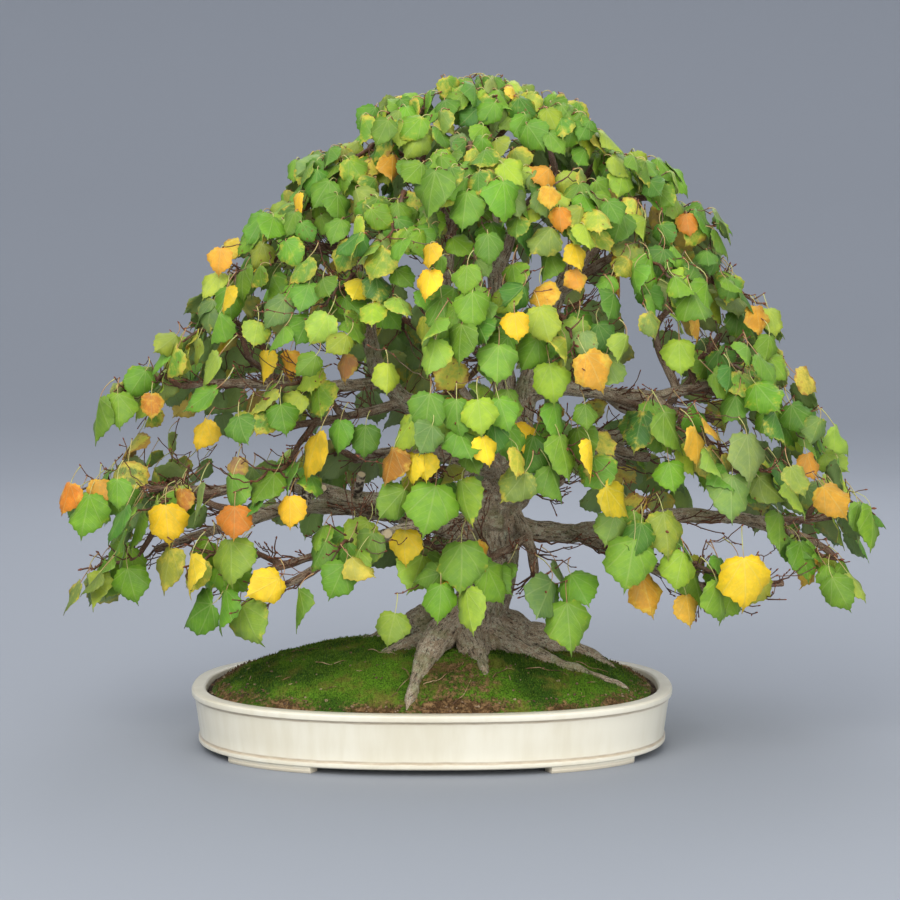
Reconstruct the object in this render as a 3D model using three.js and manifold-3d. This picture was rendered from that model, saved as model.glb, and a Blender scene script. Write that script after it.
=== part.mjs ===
// Linden bonsai in a shallow oval glazed pot.
// Millimetres. The pot's centre on the table is the drawing's own zero: +X right, +Y to the back, +Z up.
import * as THREE from "three";
import { mergeVertices } from "three/addons/utils/BufferGeometryUtils.js";
import Module from "manifold-3d";

const wasm = await Module();
wasm.setup();

// Driving dimensions of the pot
const POT_LENGTH = 506;
const POT_DEPTH = 366;
const POT_HEIGHT = 63;
const FOOT_HEIGHT = 6.5;
const FLOOR_THICKNESS = 6;
const RIM_WIDTH = 15;
const OVAL_EXPONENT = 2.45;
const OVAL_SIDES = 32;
const FOOT_START_DEG = 35;
const FOOT_END_DEG = 65;
const FOOT_STEPS = 4;
const FOOT_WIDTH = 15;
const DRAIN_RADIUS = 11;
const DRAIN_OFFSET = 110;
const SCREEN_SIDE = 40;
const SCREEN_THICKNESS = 1.2;
const SCREEN_CELLS = 2;
const SCREEN_BAR = 3.5;

// Driving dimensions of the mound: moss over soil, highest round the trunk
const EDGE_LEVEL = 59;
const MOUND_RISE = 49;
const MOUND_POWER = 0.8;
const GAP = 0.35;

// Driving dimensions of a leafy spray
const TWIG_RADIUS = 3;
const TWIG_TIP_RADIUS = 2;
const TWIG_LIFT = 20;
const TWIG_BACK_SHARE = 0.75;
const TWIG_OUT_SHARE = 0.62;
const TWIG_DROP = 6;
const LEAF_LIFT = 15;
const LEAF_THICKNESS = 0.8;
const STALK_WIDTH = 1.1;
const SHORTEST_STALK = 4;
const LONGEST_STALK = 85;
const LEAF_SPACING = 150;
const LEAVES_A_SPRAY = 5;
const MOST_FACES_A_LEAF = 46;
const MOST_FACES_A_FRONT_LEAF = 50;
const CLEARANCE = 0.9;
const GOLDEN_ANGLE = Math.PI * (3 - Math.sqrt(5));

// How far a leaf's place, size and turns are drawn from their middle values, degrees for the turns
const PLACE_SPREAD = 5;
const RISE_SPREAD = 14;
const LEAF_SHORTEST = 29;
const LEAF_LENGTH_RANGE = 13;
const LEAN_SPREAD = 28;
const TURN_SPREAD = 38;
const TILT_LEAST = 12;
const TILT_RANGE = 34;
const FRONT_TILT = 18;
const FRONT_FOLD = 0.45;

// The crown's outer form, which the leaves face away from
const CROWN_CENTRE = new THREE.Vector3(45, 5, 190);
const CROWN_REACH = new THREE.Vector3(430, 290, 490);

const UP = new THREE.Vector3(0, 0, 1);
const point = (x, y, z) => new THREE.Vector3(x, y, z);
const radians = THREE.MathUtils.degToRad;

// A closed solid through rings of the same number of points, with two flat ends
function loft(rings) {
  const sides = rings[0].length;
  const corners = rings.flat();
  const faces = [];
  rings.slice(1).forEach((ring, i) => {
    for (let s = 0; s < sides; s += 1) {
      const low = i * sides + s;
      const lowNext = i * sides + ((s + 1) % sides);
      faces.push(low, lowNext, lowNext + sides, low, lowNext + sides, low + sides);
    }
  });
  const last = (rings.length - 1) * sides;
  for (let s = 1; s < sides - 1; s += 1) {
    faces.push(0, s + 1, s);
    faces.push(last, last + s, last + s + 1);
  }
  return solidFromFaces(corners, faces);
}

// Corners and triangles as a solid, turned the right way out
function solidFromFaces(corners, faces) {
  const vertProperties = new Float32Array(corners.flatMap((p) => [p.x, p.y, p.z]));
  const made = new wasm.Manifold(
    new wasm.Mesh({ numProp: 3, vertProperties, triVerts: new Uint32Array(faces) }),
  );
  if (made.volume() > 0) return made;
  const turned = [];
  for (let i = 0; i < faces.length; i += 3) turned.push(faces[i], faces[i + 2], faces[i + 1]);
  return new wasm.Manifold(
    new wasm.Mesh({ numProp: 3, vertProperties, triVerts: new Uint32Array(turned) }),
  );
}

// A three.js geometry as a solid
function solidFrom(geometry) {
  const bare = new THREE.BufferGeometry();
  const whole = geometry.index ? geometry.toNonIndexed() : geometry;
  bare.setAttribute("position", whole.getAttribute("position"));
  const merged = mergeVertices(bare, 1e-4);
  return new wasm.Manifold(
    new wasm.Mesh({
      numProp: 3,
      vertProperties: merged.attributes.position.array,
      triVerts: new Uint32Array(merged.index.array),
    }),
  );
}

function geometryOf(solid) {
  const mesh = solid.getMesh();
  const geometry = new THREE.BufferGeometry();
  geometry.setAttribute("position", new THREE.BufferAttribute(mesh.vertProperties, 3));
  geometry.setIndex(new THREE.BufferAttribute(mesh.triVerts, 1));
  geometry.computeVertexNormals();
  return geometry;
}

// The largest body of a cut solid, without the scraps that a cut leaves
function largestBody(solid) {
  const bodies = solid.decompose();
  bodies.sort((a, b) => b.volume() - a.volume());
  return bodies[0];
}

// Pot

// A point of the pot's oval, moved in from the outer edge of the lip by the inset.
function ovalPoint(angle, inset, z, share = 1) {
  const c = Math.cos(angle);
  const s = Math.sin(angle);
  const power = 2 / OVAL_EXPONENT;
  const x = (POT_LENGTH / 2 - inset) * share * Math.sign(c) * Math.abs(c) ** power;
  const y = (POT_DEPTH / 2 - inset) * share * Math.sign(s) * Math.abs(s) ** power;
  return point(x, y, z);
}

function ovalRing(inset, z, share = 1) {
  const ring = [];
  for (let i = 0; i < OVAL_SIDES; i += 1) {
    ring.push(ovalPoint((2 * Math.PI * i) / OVAL_SIDES, inset, z, share));
  }
  return ring;
}

const FLOOR_TOP = FOOT_HEIGHT + FLOOR_THICKNESS;
// Inset from the outer edge of the lip and height, from the underside, up the wall and down inside
const POT_PROFILE = [
  [10, FOOT_HEIGHT],
  [7, FOOT_HEIGHT + 1.5],
  [7, FOOT_HEIGHT + 5.5],
  [9, FOOT_HEIGHT + 7],
  [3.2, POT_HEIGHT - 8.5],
  [0, POT_HEIGHT - 7],
  [0, POT_HEIGHT - 1.5],
  [1.5, POT_HEIGHT],
  [RIM_WIDTH, POT_HEIGHT],
  [RIM_WIDTH + 7, FLOOR_TOP + 2],
  [RIM_WIDTH + 19, FLOOR_TOP],
];
const FOOT_OUTER_INSET = 9.5;
const FOOT_SLANT = 1;

function foot(mirrorX, mirrorY) {
  const rings = [];
  for (let i = 0; i <= FOOT_STEPS; i += 1) {
    const share = i / FOOT_STEPS;
    const angle = radians(FOOT_START_DEG + (FOOT_END_DEG - FOOT_START_DEG) * share);
    const top = FOOT_HEIGHT + FLOOR_THICKNESS / 2;
    const inner = FOOT_OUTER_INSET + FOOT_WIDTH;
    rings.push(
      [
        ovalPoint(angle, FOOT_OUTER_INSET, top),
        ovalPoint(angle, FOOT_OUTER_INSET + FOOT_SLANT, 0),
        ovalPoint(angle, inner - FOOT_SLANT, 0),
        ovalPoint(angle, inner, top),
      ].map((p) => point(p.x * mirrorX, p.y * mirrorY, p.z)),
    );
  }
  return loft(rings);
}

function makePot() {
  let pot = loft(POT_PROFILE.map(([inset, z]) => ovalRing(inset, z)));
  for (const mirrorX of [-1, 1]) {
    for (const mirrorY of [-1, 1]) pot = pot.add(foot(mirrorX, mirrorY));
    const drill = new THREE.CylinderGeometry(DRAIN_RADIUS, DRAIN_RADIUS, 4 * FLOOR_THICKNESS, 12);
    drill.rotateX(Math.PI / 2).translate(mirrorX * DRAIN_OFFSET, 0, FLOOR_TOP);
    pot = pot.subtract(solidFrom(drill));
  }
  return pot;
}

function block(x, y, z, width, depth, height) {
  return solidFrom(new THREE.BoxGeometry(width, depth, height).translate(x, y, z));
}

// A square screen of crossed bars, lying on the floor over a drainage hole
function makeScreen(side) {
  const middle = side * DRAIN_OFFSET;
  const level = FLOOR_TOP + GAP + SCREEN_THICKNESS / 2;
  const pitch = (SCREEN_SIDE - SCREEN_BAR) / SCREEN_CELLS;
  const open = pitch - SCREEN_BAR;
  let screen = block(middle, 0, level, SCREEN_SIDE, SCREEN_SIDE, SCREEN_THICKNESS);
  for (let i = 0; i < SCREEN_CELLS; i += 1) {
    for (let j = 0; j < SCREEN_CELLS; j += 1) {
      const x = middle + (i - (SCREEN_CELLS - 1) / 2) * pitch;
      const y = (j - (SCREEN_CELLS - 1) / 2) * pitch;
      screen = screen.subtract(block(x, y, level, open, open, 4 * SCREEN_THICKNESS));
    }
  }
  return screen;
}

// Soil and moss

// Height of the moss at a share of the way from the mound's middle to the pot's inner wall
function mossLevel(share) {
  return EDGE_LEVEL + MOUND_RISE * Math.max(0, 1 - share * share) ** MOUND_POWER;
}

const MOUND_RINGS = [1, 0.84, 0.58, 0.25];
// Share of the way out and depth of the soil below the top of the moss, thickest round the roots
const SOIL_RINGS = [[1, 4], [0.5, 14], [0.2, 16]];
const MOSS_INSET = RIM_WIDTH + 6;

function makeMoss(roots) {
  const under = SOIL_RINGS.map(([share, depth]) => {
    return ovalRing(MOSS_INSET, mossLevel(share) - depth, share);
  });
  const over = MOUND_RINGS.map((share) => ovalRing(MOSS_INSET, mossLevel(share), share));
  return largestBody(loft([...under.reverse(), ...over]).subtract(roots));
}

function makeSoil(roots) {
  const inside = POT_PROFILE.slice(-2).reverse();
  const rings = inside.map(([inset, z]) => ovalRing(inset + 2 * GAP, z + GAP));
  rings.push(ovalRing(RIM_WIDTH + 1.5, mossLevel(1) - SOIL_RINGS[0][1] - GAP));
  for (const [share, depth] of SOIL_RINGS) {
    rings.push(ovalRing(MOSS_INSET, mossLevel(share) - depth - GAP, share));
  }
  let soil = loft(rings);
  const side = SCREEN_SIDE + 4 * GAP;
  for (const way of [-1, 1]) {
    const height = 2 * (SCREEN_THICKNESS + 2 * GAP);
    soil = soil.subtract(block(way * DRAIN_OFFSET, 0, FLOOR_TOP, side, side, height));
  }
  return largestBody(soil.subtract(roots));
}

// Wood: a limb is a route of rows, each [x, y, z, radius]

// Rows between the rows of a route, on a smooth curve through them
function smoothRoute(rows, steps) {
  const curve = new THREE.CatmullRomCurve3(
    rows.map(([x, y, z]) => point(x, y, z)),
    false,
    "catmullrom",
    0.5,
  );
  const made = [];
  const count = (rows.length - 1) * steps;
  for (let i = 0; i <= count; i += 1) {
    const at = i / steps;
    const low = Math.min(rows.length - 2, Math.floor(at));
    const radius = rows[low][3] + (rows[low + 1][3] - rows[low][3]) * (at - low);
    made.push({ place: curve.getPoint(i / count), radius });
  }
  return made;
}

// A tapering tube with flat sides through the stations of a route
function tube(stations, sides, grow = 0, form = () => 1) {
  const rings = [];
  let across = null;
  stations.forEach(({ place, radius, way }, i) => {
    const before = stations[Math.max(0, i - 1)].place;
    const after = stations[Math.min(stations.length - 1, i + 1)].place;
    const along = way ?? after.clone().sub(before).normalize();
    if (!across) {
      across = Math.abs(along.z) > 0.9 ? point(1, 0, 0) : UP.clone();
    }
    across = across.clone().addScaledVector(along, -across.dot(along)).normalize();
    const other = along.clone().cross(across);
    const ring = [];
    for (let s = 0; s < sides; s += 1) {
      const angle = (2 * Math.PI * s) / sides;
      const reach = radius * form(angle, place) + grow;
      const corner = place.clone().addScaledVector(across, reach * Math.cos(angle));
      ring.push(corner.addScaledVector(other, reach * Math.sin(angle)));
    }
    rings.push(ring);
  });
  return loft(rings);
}

const TRUNK = [
  [40, 0, 82, 50],
  [41, 0, 104, 46],
  [44, 0, 124, 36],
  [52, -2, 146, 29.5],
  [62, -2, 172, 25.5],
  [68, -2, 202, 23.5],
  [68, -2, 235, 23],
  [73, -2, 262, 23.5],
  [78, 0, 292, 19],
];

const ROOTS = [
  [[26, -16, 136, 17], [6, -52, 116, 16], [-10, -100, 96, 9], [-22, -146, 70, 4]],
  [[40, -18, 124, 18], [42, -56, 106, 15], [58, -116, 80, 5]],
  [[56, 4, 130, 20], [96, 10, 111, 18], [144, 10, 98, 11], [196, 2, 72, 4]],
  [[62, -14, 118, 15], [112, -46, 96, 8], [192, -70, 74, 3.5]],
  [[26, 14, 124, 20], [-10, 26, 117, 19], [-60, 38, 100, 10], [-124, 48, 78, 4]],
  [[20, -6, 116, 15], [-34, -40, 102, 9], [-92, -76, 78, 4]],
  [[40, 22, 122, 18], [43, 70, 104, 11], [48, 130, 76, 4]],
  [[58, 16, 118, 16], [100, 58, 101, 9], [138, 100, 76, 4]],
];

const LIMBS = {
  stemLeft: [[76, 0, 280, 15], [46, -5, 318, 13], [6, -8, 345, 11.5], [-30, -5, 362, 10],
    [-57, 0, 392, 9], [-66, 0, 430, 8], [-69, 2, 468, 6.5], [-80, 5, 505, 5], [-95, 5, 535, 3.5]],
  stemMiddle: [[78, 0, 286, 17], [77, 4, 330, 15], [76, 5, 370, 13], [72, 5, 410, 11.5], [69, 2, 460, 9.5],
    [68, -2, 505, 8], [64, -5, 560, 6], [60, -8, 610, 4.5], [57, -10, 645, 3.2]],
  stemMiddleLeft: [[77, 3, 312, 11], [46, 8, 345, 10], [16, 8, 390, 9], [8, 4, 440, 8], [14, 0, 485, 7],
    [18, -5, 530, 5.5], [5, -8, 575, 4], [-10, -10, 605, 3]],
  stemRight: [[79, 0, 290, 14], [94, -4, 335, 12], [101, -5, 375, 10.5], [118, 0, 425, 9], [134, 4, 475, 7.5],
    [150, 5, 525, 5.5], [165, 0, 565, 4]],
  rightUpper: [[100, -5, 368, 9.5], [135, -18, 376, 8.5], [180, -28, 370, 7.5], [226, -32, 368, 6.5],
    [262, -34, 374, 5.5], [285, -40, 380, 4.5]],
  rightUpperFork: [[180, -28, 370, 6], [200, -5, 354, 5.5], [228, 20, 347, 5], [262, 32, 347, 4.5],
    [300, 36, 338, 3.8]],
  rightMossy: [[82, 5, 282, 13], [120, 40, 305, 11], [160, 60, 318, 9.5], [203, 72, 316, 8], [245, 80, 311, 6]],
  rightMossyFork: [[160, 60, 318, 7], [205, 66, 300, 6], [235, 62, 295, 5]],
  rightLong: [[72, 2, 232, 13], [99, 6, 224, 11.5], [175, 6, 222, 10], [262, 2, 238, 8], [330, -4, 236, 6.5],
    [362, -8, 224, 5.5], [400, -12, 214, 4.5], [425, -12, 196, 3]],
  rightLongFork: [[330, -4, 236, 5], [385, 8, 234, 4.5], [430, 10, 238, 3.8]],
  rightLow: [[150, 2, 222, 8], [190, -45, 208, 7], [235, -70, 192, 6], [282, -80, 174, 5],
    [318, -85, 177, 4.2], [360, -80, 180, 3.5]],
  leftLong: [[70, -4, 262, 13], [30, -18, 265, 11.5], [-20, -28, 260, 10.5], [-68, -30, 258, 9.5],
    [-120, -28, 270, 8.5], [-165, -25, 280, 7.5], [-210, -18, 270, 6.2], [-250, -10, 257, 5], [-285, -6, 238, 4]],
  leftLongFork: [[-210, -18, 270, 4.5], [-260, -4, 268, 4], [-300, 6, 268, 3.2]],
  leftDark: [[66, 6, 222, 13], [28, 20, 221, 11.5], [-15, 34, 230, 10.5], [-62, 46, 239, 9.5],
    [-110, 54, 243, 8.5], [-155, 58, 240, 7.5], [-200, 56, 229, 6], [-249, 46, 214, 5], [-297, 30, 199, 4]],
  leftLow: [[60, -12, 236, 9], [20, -55, 240, 8], [-30, -78, 232, 7], [-72, -86, 226, 6.5],
    [-104, -90, 214, 5.8], [-122, -94, 194, 5], [-160, -98, 176, 4], [-185, -96, 174, 3.2]],
  leftLowFork: [[-104, -90, 214, 4.5], [-150, -92, 200, 4], [-185, -94, 186, 3.2]],
  leftUpper: [[-50, -2, 380, 7], [-95, -4, 377, 6.5], [-150, -2, 377, 5.5], [-225, 2, 379, 4.5],
    [-262, 0, 376, 3.5]],
  leftUpperFork: [[-30, -5, 360, 6], [-70, -30, 350, 5], [-110, -50, 344, 4.5], [-140, -60, 340, 3.5]],
  frontLow: [[73, -8, 276, 9], [58, -60, 292, 7.5], [40, -115, 300, 6.5], [25, -160, 300, 5.5],
    [15, -185, 298, 4.5]],
  frontUpper: [[72, 0, 398, 7], [68, -50, 408, 6.2], [58, -110, 412, 5.2], [52, -160, 412, 4.2]],
  frontRight: [[84, -8, 268, 8], [108, -60, 276, 7], [126, -105, 285, 6], [130, -130, 292, 4.5]],
  drooping: [[86, -8, 246, 7], [100, -38, 222, 6], [104, -75, 200, 5], [106, -100, 186, 4]],
  droopingFork: [[100, -38, 222, 5], [66, -90, 210, 4.5], [40, -120, 206, 3.8]],
  backMiddle: [[72, 14, 262, 10], [76, 80, 272, 8.5], [72, 150, 272, 7], [66, 215, 268, 5.5], [60, 245, 268, 4.5]],
  backLeft: [[74, 6, 284, 9], [5, 85, 296, 7.5], [-50, 145, 292, 6], [-90, 195, 280, 4.5]],
  backRight: [[92, 12, 290, 9], [140, 80, 300, 7.5], [185, 140, 292, 6], [215, 195, 276, 4.5]],
  backUpper: [[72, 8, 402, 8], [70, 80, 404, 6.5], [62, 150, 398, 5], [60, 175, 398, 4.2]],
  backLow: [[60, 14, 215, 7], [40, 70, 205, 6], [15, 130, 190, 5], [0, 165, 178, 4]],
};

// Leafy sprays: [name, x, y, z, half width] of the middle of each spray's leaves
const SPRAYS = [
  ["top_middle", 57, -20, 667, 48],
  ["top_left", -22, -60, 640, 46],
  ["top_right", 131, -50, 640, 46],
  ["shoulder_left", -88, -40, 600, 48],
  ["shoulder_right", 209, -30, 590, 44],
  ["top_front", 38, -150, 587, 50],
  ["upper_left", -145, -40, 544, 48],
  ["upper_front_left", -35, -150, 539, 50],
  ["upper_front_right", 127, -140, 553, 50],
  ["upper_right", 267, -20, 544, 42],
  ["side_left_high", -198, -20, 477, 48],
  ["front_left_high", -95, -120, 460, 50],
  ["front_right_high", 228, -110, 484, 50],
  ["side_right_high", 322, 0, 456, 44],
  ["front_middle_high", 48, -210, 443, 50],
  ["front_right_middle", 136, -170, 422, 44],
  ["side_left_middle", -242, -10, 415, 46],
  ["side_left_tip", -312, 0, 358, 44],
  ["front_left_middle", -148, -90, 363, 46],
  ["side_right_middle", 310, -60, 381, 46],
  ["side_right_tip", 375, -20, 332, 46],
  ["front_middle", 24, -225, 354, 50],
  ["front_right_inner", 127, -160, 319, 46],
  ["front_right_outer", 239, -120, 330, 46],
  ["right_front_middle", 318, -90, 287, 46],
  ["low_right_tip", 440, 0, 235, 40],
  ["low_right_front", 398, -40, 188, 44],
  ["low_front_right", 219, -130, 231, 46],
  ["low_front_right_outer", 291, -110, 177, 44],
  ["low_left_tip", -350, 0, 256, 42],
  ["low_left_middle", -275, -50, 241, 46],
  ["low_left_under", -342, -10, 173, 44],
  ["low_left_front", -225, -90, 190, 48],
  ["left_front_middle", -162, -110, 279, 44],
  ["low_front_left", -86, -130, 210, 40],
  ["low_front_middle", 19, -150, 198, 44],
  ["low_front_drooping", 109, -128, 169, 38],
  ["front_lower_left", -1, -190, 278, 46],
  ["top_back_left", -35, 100, 604, 50],
  ["top_back_right", 138, 100, 604, 50],
  ["back_left_high", -147, 150, 506, 52],
  ["back_middle_high", 53, 200, 528, 54],
  ["back_right_high", 240, 150, 517, 52],
  ["back_left_middle", -236, 140, 393, 52],
  ["back_left_inner", -39, 240, 402, 54],
  ["back_right_inner", 157, 240, 402, 54],
  ["back_right_middle", 341, 140, 393, 52],
  ["back_left_low", -312, 120, 243, 50],
  ["back_left_lower", -119, 230, 264, 54],
  ["back_middle_low", 54, 270, 283, 54],
  ["back_right_lower", 238, 230, 264, 54],
  ["back_right_low", 395, 120, 243, 50],
  ["back_low", -15, 190, 165, 50],
];

// Leaves that show one by one from the front:
// [spray, x, y, z of the blade's base, blade length, lean, turn of the face], angles in degrees
const FRONT_LEAVES = [
  [5, -190, 595, 48, -5, -30], [35, -190, 575, 38, 0, -30], [-135, -70, 575, 28, 5, -60],
  [55, -205, 535, 31, 5, 0], [140, -170, 525, 27, 5, 35], [140, -160, 500, 23, 10, 30],
  [125, -175, 560, 25, 0, 0], [115, -175, 580, 23, -5, 20], [70, -190, 585, 40, 0, 30],
  [260, -50, 555, 24, 5, 0], [-215, -50, 520, 27, -5, -20], [-85, -120, 415, 28, 0, -35],
  [245, -140, 430, 36, 0, 0], [335, -30, 460, 32, 0, 30], [270, -70, 455, 30, 0, 60],
  [65, -240, 430, 38, -5, 0], [0, -215, 500, 30, 0, -25], [0, -215, 525, 25, 10, -40],
  [80, -235, 460, 28, 5, 0], [30, -245, 450, 38, 5, -40], [5, -240, 435, 36, -5, -25],
  [40, -240, 480, 36, 0, 0], [35, -235, 505, 28, 5, -30], [150, -200, 420, 40, 25, 25],
  [115, -200, 410, 38, 5, 15], [105, -210, 465, 36, 10, 15], [-170, -50, 415, 34, 5, -40],
  [-145, -50, 415, 31, 0, -30], [-230, -60, 345, 33, -10, -50], [-325, -30, 370, 37, 5, 0],
  [-345, -20, 365, 47, 5, -65], [-290, -30, 370, 27, 0, 0], [-65, -130, 345, 33, 0, -20],
  [-90, -130, 350, 33, 0, -35], [-150, -120, 365, 32, 10, 0], [385, -60, 310, 28, 10, 25],
  [50, -265, 345, 28, 5, 40], [25, -260, 380, 36, 0, 0], [0, -255, 385, 39, -10, 0],
  [45, -265, 380, 34, 10, 0], [65, -250, 380, 34, 15, 15], [170, -190, 290, 39, 40, 50],
  [150, -185, 370, 26, 0, 20], [155, -190, 335, 39, -10, 70], [120, -185, 370, 37, -5, 50],
  [125, -195, 340, 44, 0, 50], [260, -150, 345, 37, 0, 65], [230, -150, 360, 45, 20, 45],
  [235, -150, 310, 31, 10, 0], [300, -130, 295, 48, -5, 0], [315, -125, 335, 50, -5, 35],
  [355, -70, 250, 41, -20, 50], [445, -20, 255, 40, 0, 50], [470, -20, 250, 46, -25, 60],
  [410, -75, 185, 39, 25, 5], [200, -165, 235, 51, -10, 0], [230, -150, 260, 45, 5, 20],
  [210, -140, 195, 42, 10, 30], [250, -150, 220, 38, -20, 20], [310, -150, 215, 50, 5, 0],
  [255, -135, 175, 31, 0, 40], [285, -135, 190, 42, 0, 60], [-380, -20, 275, 33, -5, -45],
  [-345, -30, 280, 29, 0, 0], [-355, -35, 265, 46, 0, -35], [-270, -85, 260, 40, 5, 0],
  [-265, -85, 215, 45, 0, -40], [-255, -70, 275, 27, 0, -30], [-315, -45, 190, 38, 15, 0],
  [-200, -130, 230, 47, 10, -20], [-240, -125, 215, 42, 5, -60], [-190, -125, 165, 46, 30, -15],
  [-220, -125, 165, 46, -60, -50], [-205, -130, 180, 43, -5, -55], [-150, -150, 195, 38, -60, 0],
  [-195, -140, 265, 34, 0, 0], [-140, -140, 275, 31, 5, -25], [-110, -140, 340, 51, -10, -75],
  [-195, -100, 310, 25, 0, -20], [-25, -170, 245, 34, 0, -10], [-130, -160, 185, 41, 5, -55],
  [-85, -160, 210, 37, -25, 0], [-35, -185, 165, 33, -10, -10], [30, -190, 235, 49, 5, -10],
  [45, -180, 235, 29, 10, 35], [10, -195, 195, 37, 0, 0], [10, -180, 205, 31, -70, -35],
  [35, -195, 190, 43, 20, -45], [55, -180, 210, 43, 25, 55], [135, -150, 170, 51, 5, 0],
  [120, -140, 190, 50, -45, 40], [5, -225, 295, 49, -10, 0], [30, -225, 300, 44, 20, -40],
  [-25, -215, 290, 38, -45, 0], [-35, -215, 330, 36, 0, -50], [-15, -220, 325, 29, -5, -35],
  [-5, -225, 325, 27, 15, -45],
];

// The draws of a spray come from a small generator, so that they are the same each time.
class Draws {
  constructor(seed) {
    this.state = (seed * 7919) % 2147483647;
    for (let i = 0; i < 5; i += 1) this.next();
  }

  next() {
    this.state = (this.state * 16807) % 2147483647;
    return this.state / 2147483647;
  }

  around(spread) {
    return spread * (2 * this.next() - 1);
  }
}

// Outward direction of the crown's surface near a point
function outwardAt(place) {
  const from = place.clone().sub(CROWN_CENTRE);
  return from.divide(CROWN_REACH).divide(CROWN_REACH).normalize();
}

// The middle, the frame and the twig of a spray
function sprayFrame([name, x, y, z, width], index) {
  const middle = point(x, y, z);
  const outward = outwardAt(middle);
  const flatOut = point(outward.x, outward.y, 0);
  if (flatOut.length() < 0.2) flatOut.set(0.3, -1, 0);
  flatOut.normalize();
  const lean = 0.25 + 0.5 * THREE.MathUtils.clamp((z - 250) / 350, 0, 1);
  const normal = UP.clone().multiplyScalar(1 - lean).addScaledVector(outward, lean).normalize();
  const along = flatOut.clone().addScaledVector(normal, -flatOut.dot(normal)).normalize();
  const side = normal.clone().cross(along);
  const lifted = middle.clone().addScaledVector(UP, TWIG_LIFT);
  const start = lifted.clone().addScaledVector(along, -TWIG_BACK_SHARE * width);
  start.addScaledVector(normal, -TWIG_DROP);
  const end = lifted.clone().addScaledVector(along, TWIG_OUT_SHARE * width);
  const toward = lifted.clone().sub(start).normalize();
  return { name, index, middle, outward, flatOut, normal, along, side, width, start, end, lifted, toward };
}

// All the leaves of a spray by the golden angle, each with its base, size and three turns
function sprayLeaves(frame) {
  const draws = new Draws(frame.index + 1);
  const count = Math.round((frame.width * frame.width) / LEAF_SPACING);
  const leaves = [];
  for (let k = 0; k < count; k += 1) {
    const reach = Math.sqrt((k + 0.5) / count) * frame.width;
    const angle = k * GOLDEN_ANGLE + frame.index;
    const away = reach * Math.cos(angle) + draws.around(PLACE_SPREAD);
    const aside = reach * Math.sin(angle) + draws.around(PLACE_SPREAD);
    const rise = draws.around(RISE_SPREAD);
    const base = frame.middle.clone().addScaledVector(UP, LEAF_LIFT);
    base.addScaledVector(frame.along, away).addScaledVector(frame.side, aside);
    base.addScaledVector(frame.normal, rise);
    const facing = frame.flatOut.clone();
    facing.addScaledVector(frame.side, (0.7 * aside) / frame.width);
    facing.y -= 0.45;
    const length = LEAF_SHORTEST + LEAF_LENGTH_RANGE * draws.next();
    const lean = draws.around(LEAN_SPREAD);
    const turn = THREE.MathUtils.radToDeg(Math.atan2(facing.x, -facing.y)) + draws.around(TURN_SPREAD);
    const tilt = TILT_LEAST + TILT_RANGE * draws.next();
    leaves.push({ base, length, lean, turn, tilt, fold: draws.next(), wave: draws.around(1) });
    draws.next();
  }
  return leaves;
}

// The three directions of a blade: to its tip, across it, and out of its face
function leafAxes({ lean, turn, tilt }) {
  const across = point(Math.cos(radians(turn)), Math.sin(radians(turn)), 0);
  const face = point(Math.sin(radians(turn)), -Math.cos(radians(turn)), 0);
  const hang = across.clone().multiplyScalar(Math.sin(radians(lean)));
  hang.addScaledVector(UP, -Math.cos(radians(lean)));
  const tip = hang.clone().multiplyScalar(Math.cos(radians(tilt)));
  tip.addScaledVector(face, Math.sin(radians(tilt)));
  const out = face.clone().multiplyScalar(Math.cos(radians(tilt)));
  out.addScaledVector(hang, -Math.sin(radians(tilt)));
  return { tip, out, across: out.clone().cross(tip).negate() };
}

// Half of a heart-shaped blade, in shares of its length: along it and across it
const LOBE = [-0.12, 0.34];
const WIDEST = [0.38, 0.48];
const TIP_REACH = 1.05;
const NOTCH_HALF = 0.9;
const NOTCH_SLANT = 0.5;
const FOLD_LEAST = 0.02;
const FOLD_RANGE = 0.2;
const LOBE_FOLD = 0.55;
const TIP_FOLD = 0.4;
const WAVE_RANGE = 0.06;
const STALK_START = 0.3;
const LEAST_STALK_FACING = 0.3;

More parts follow.
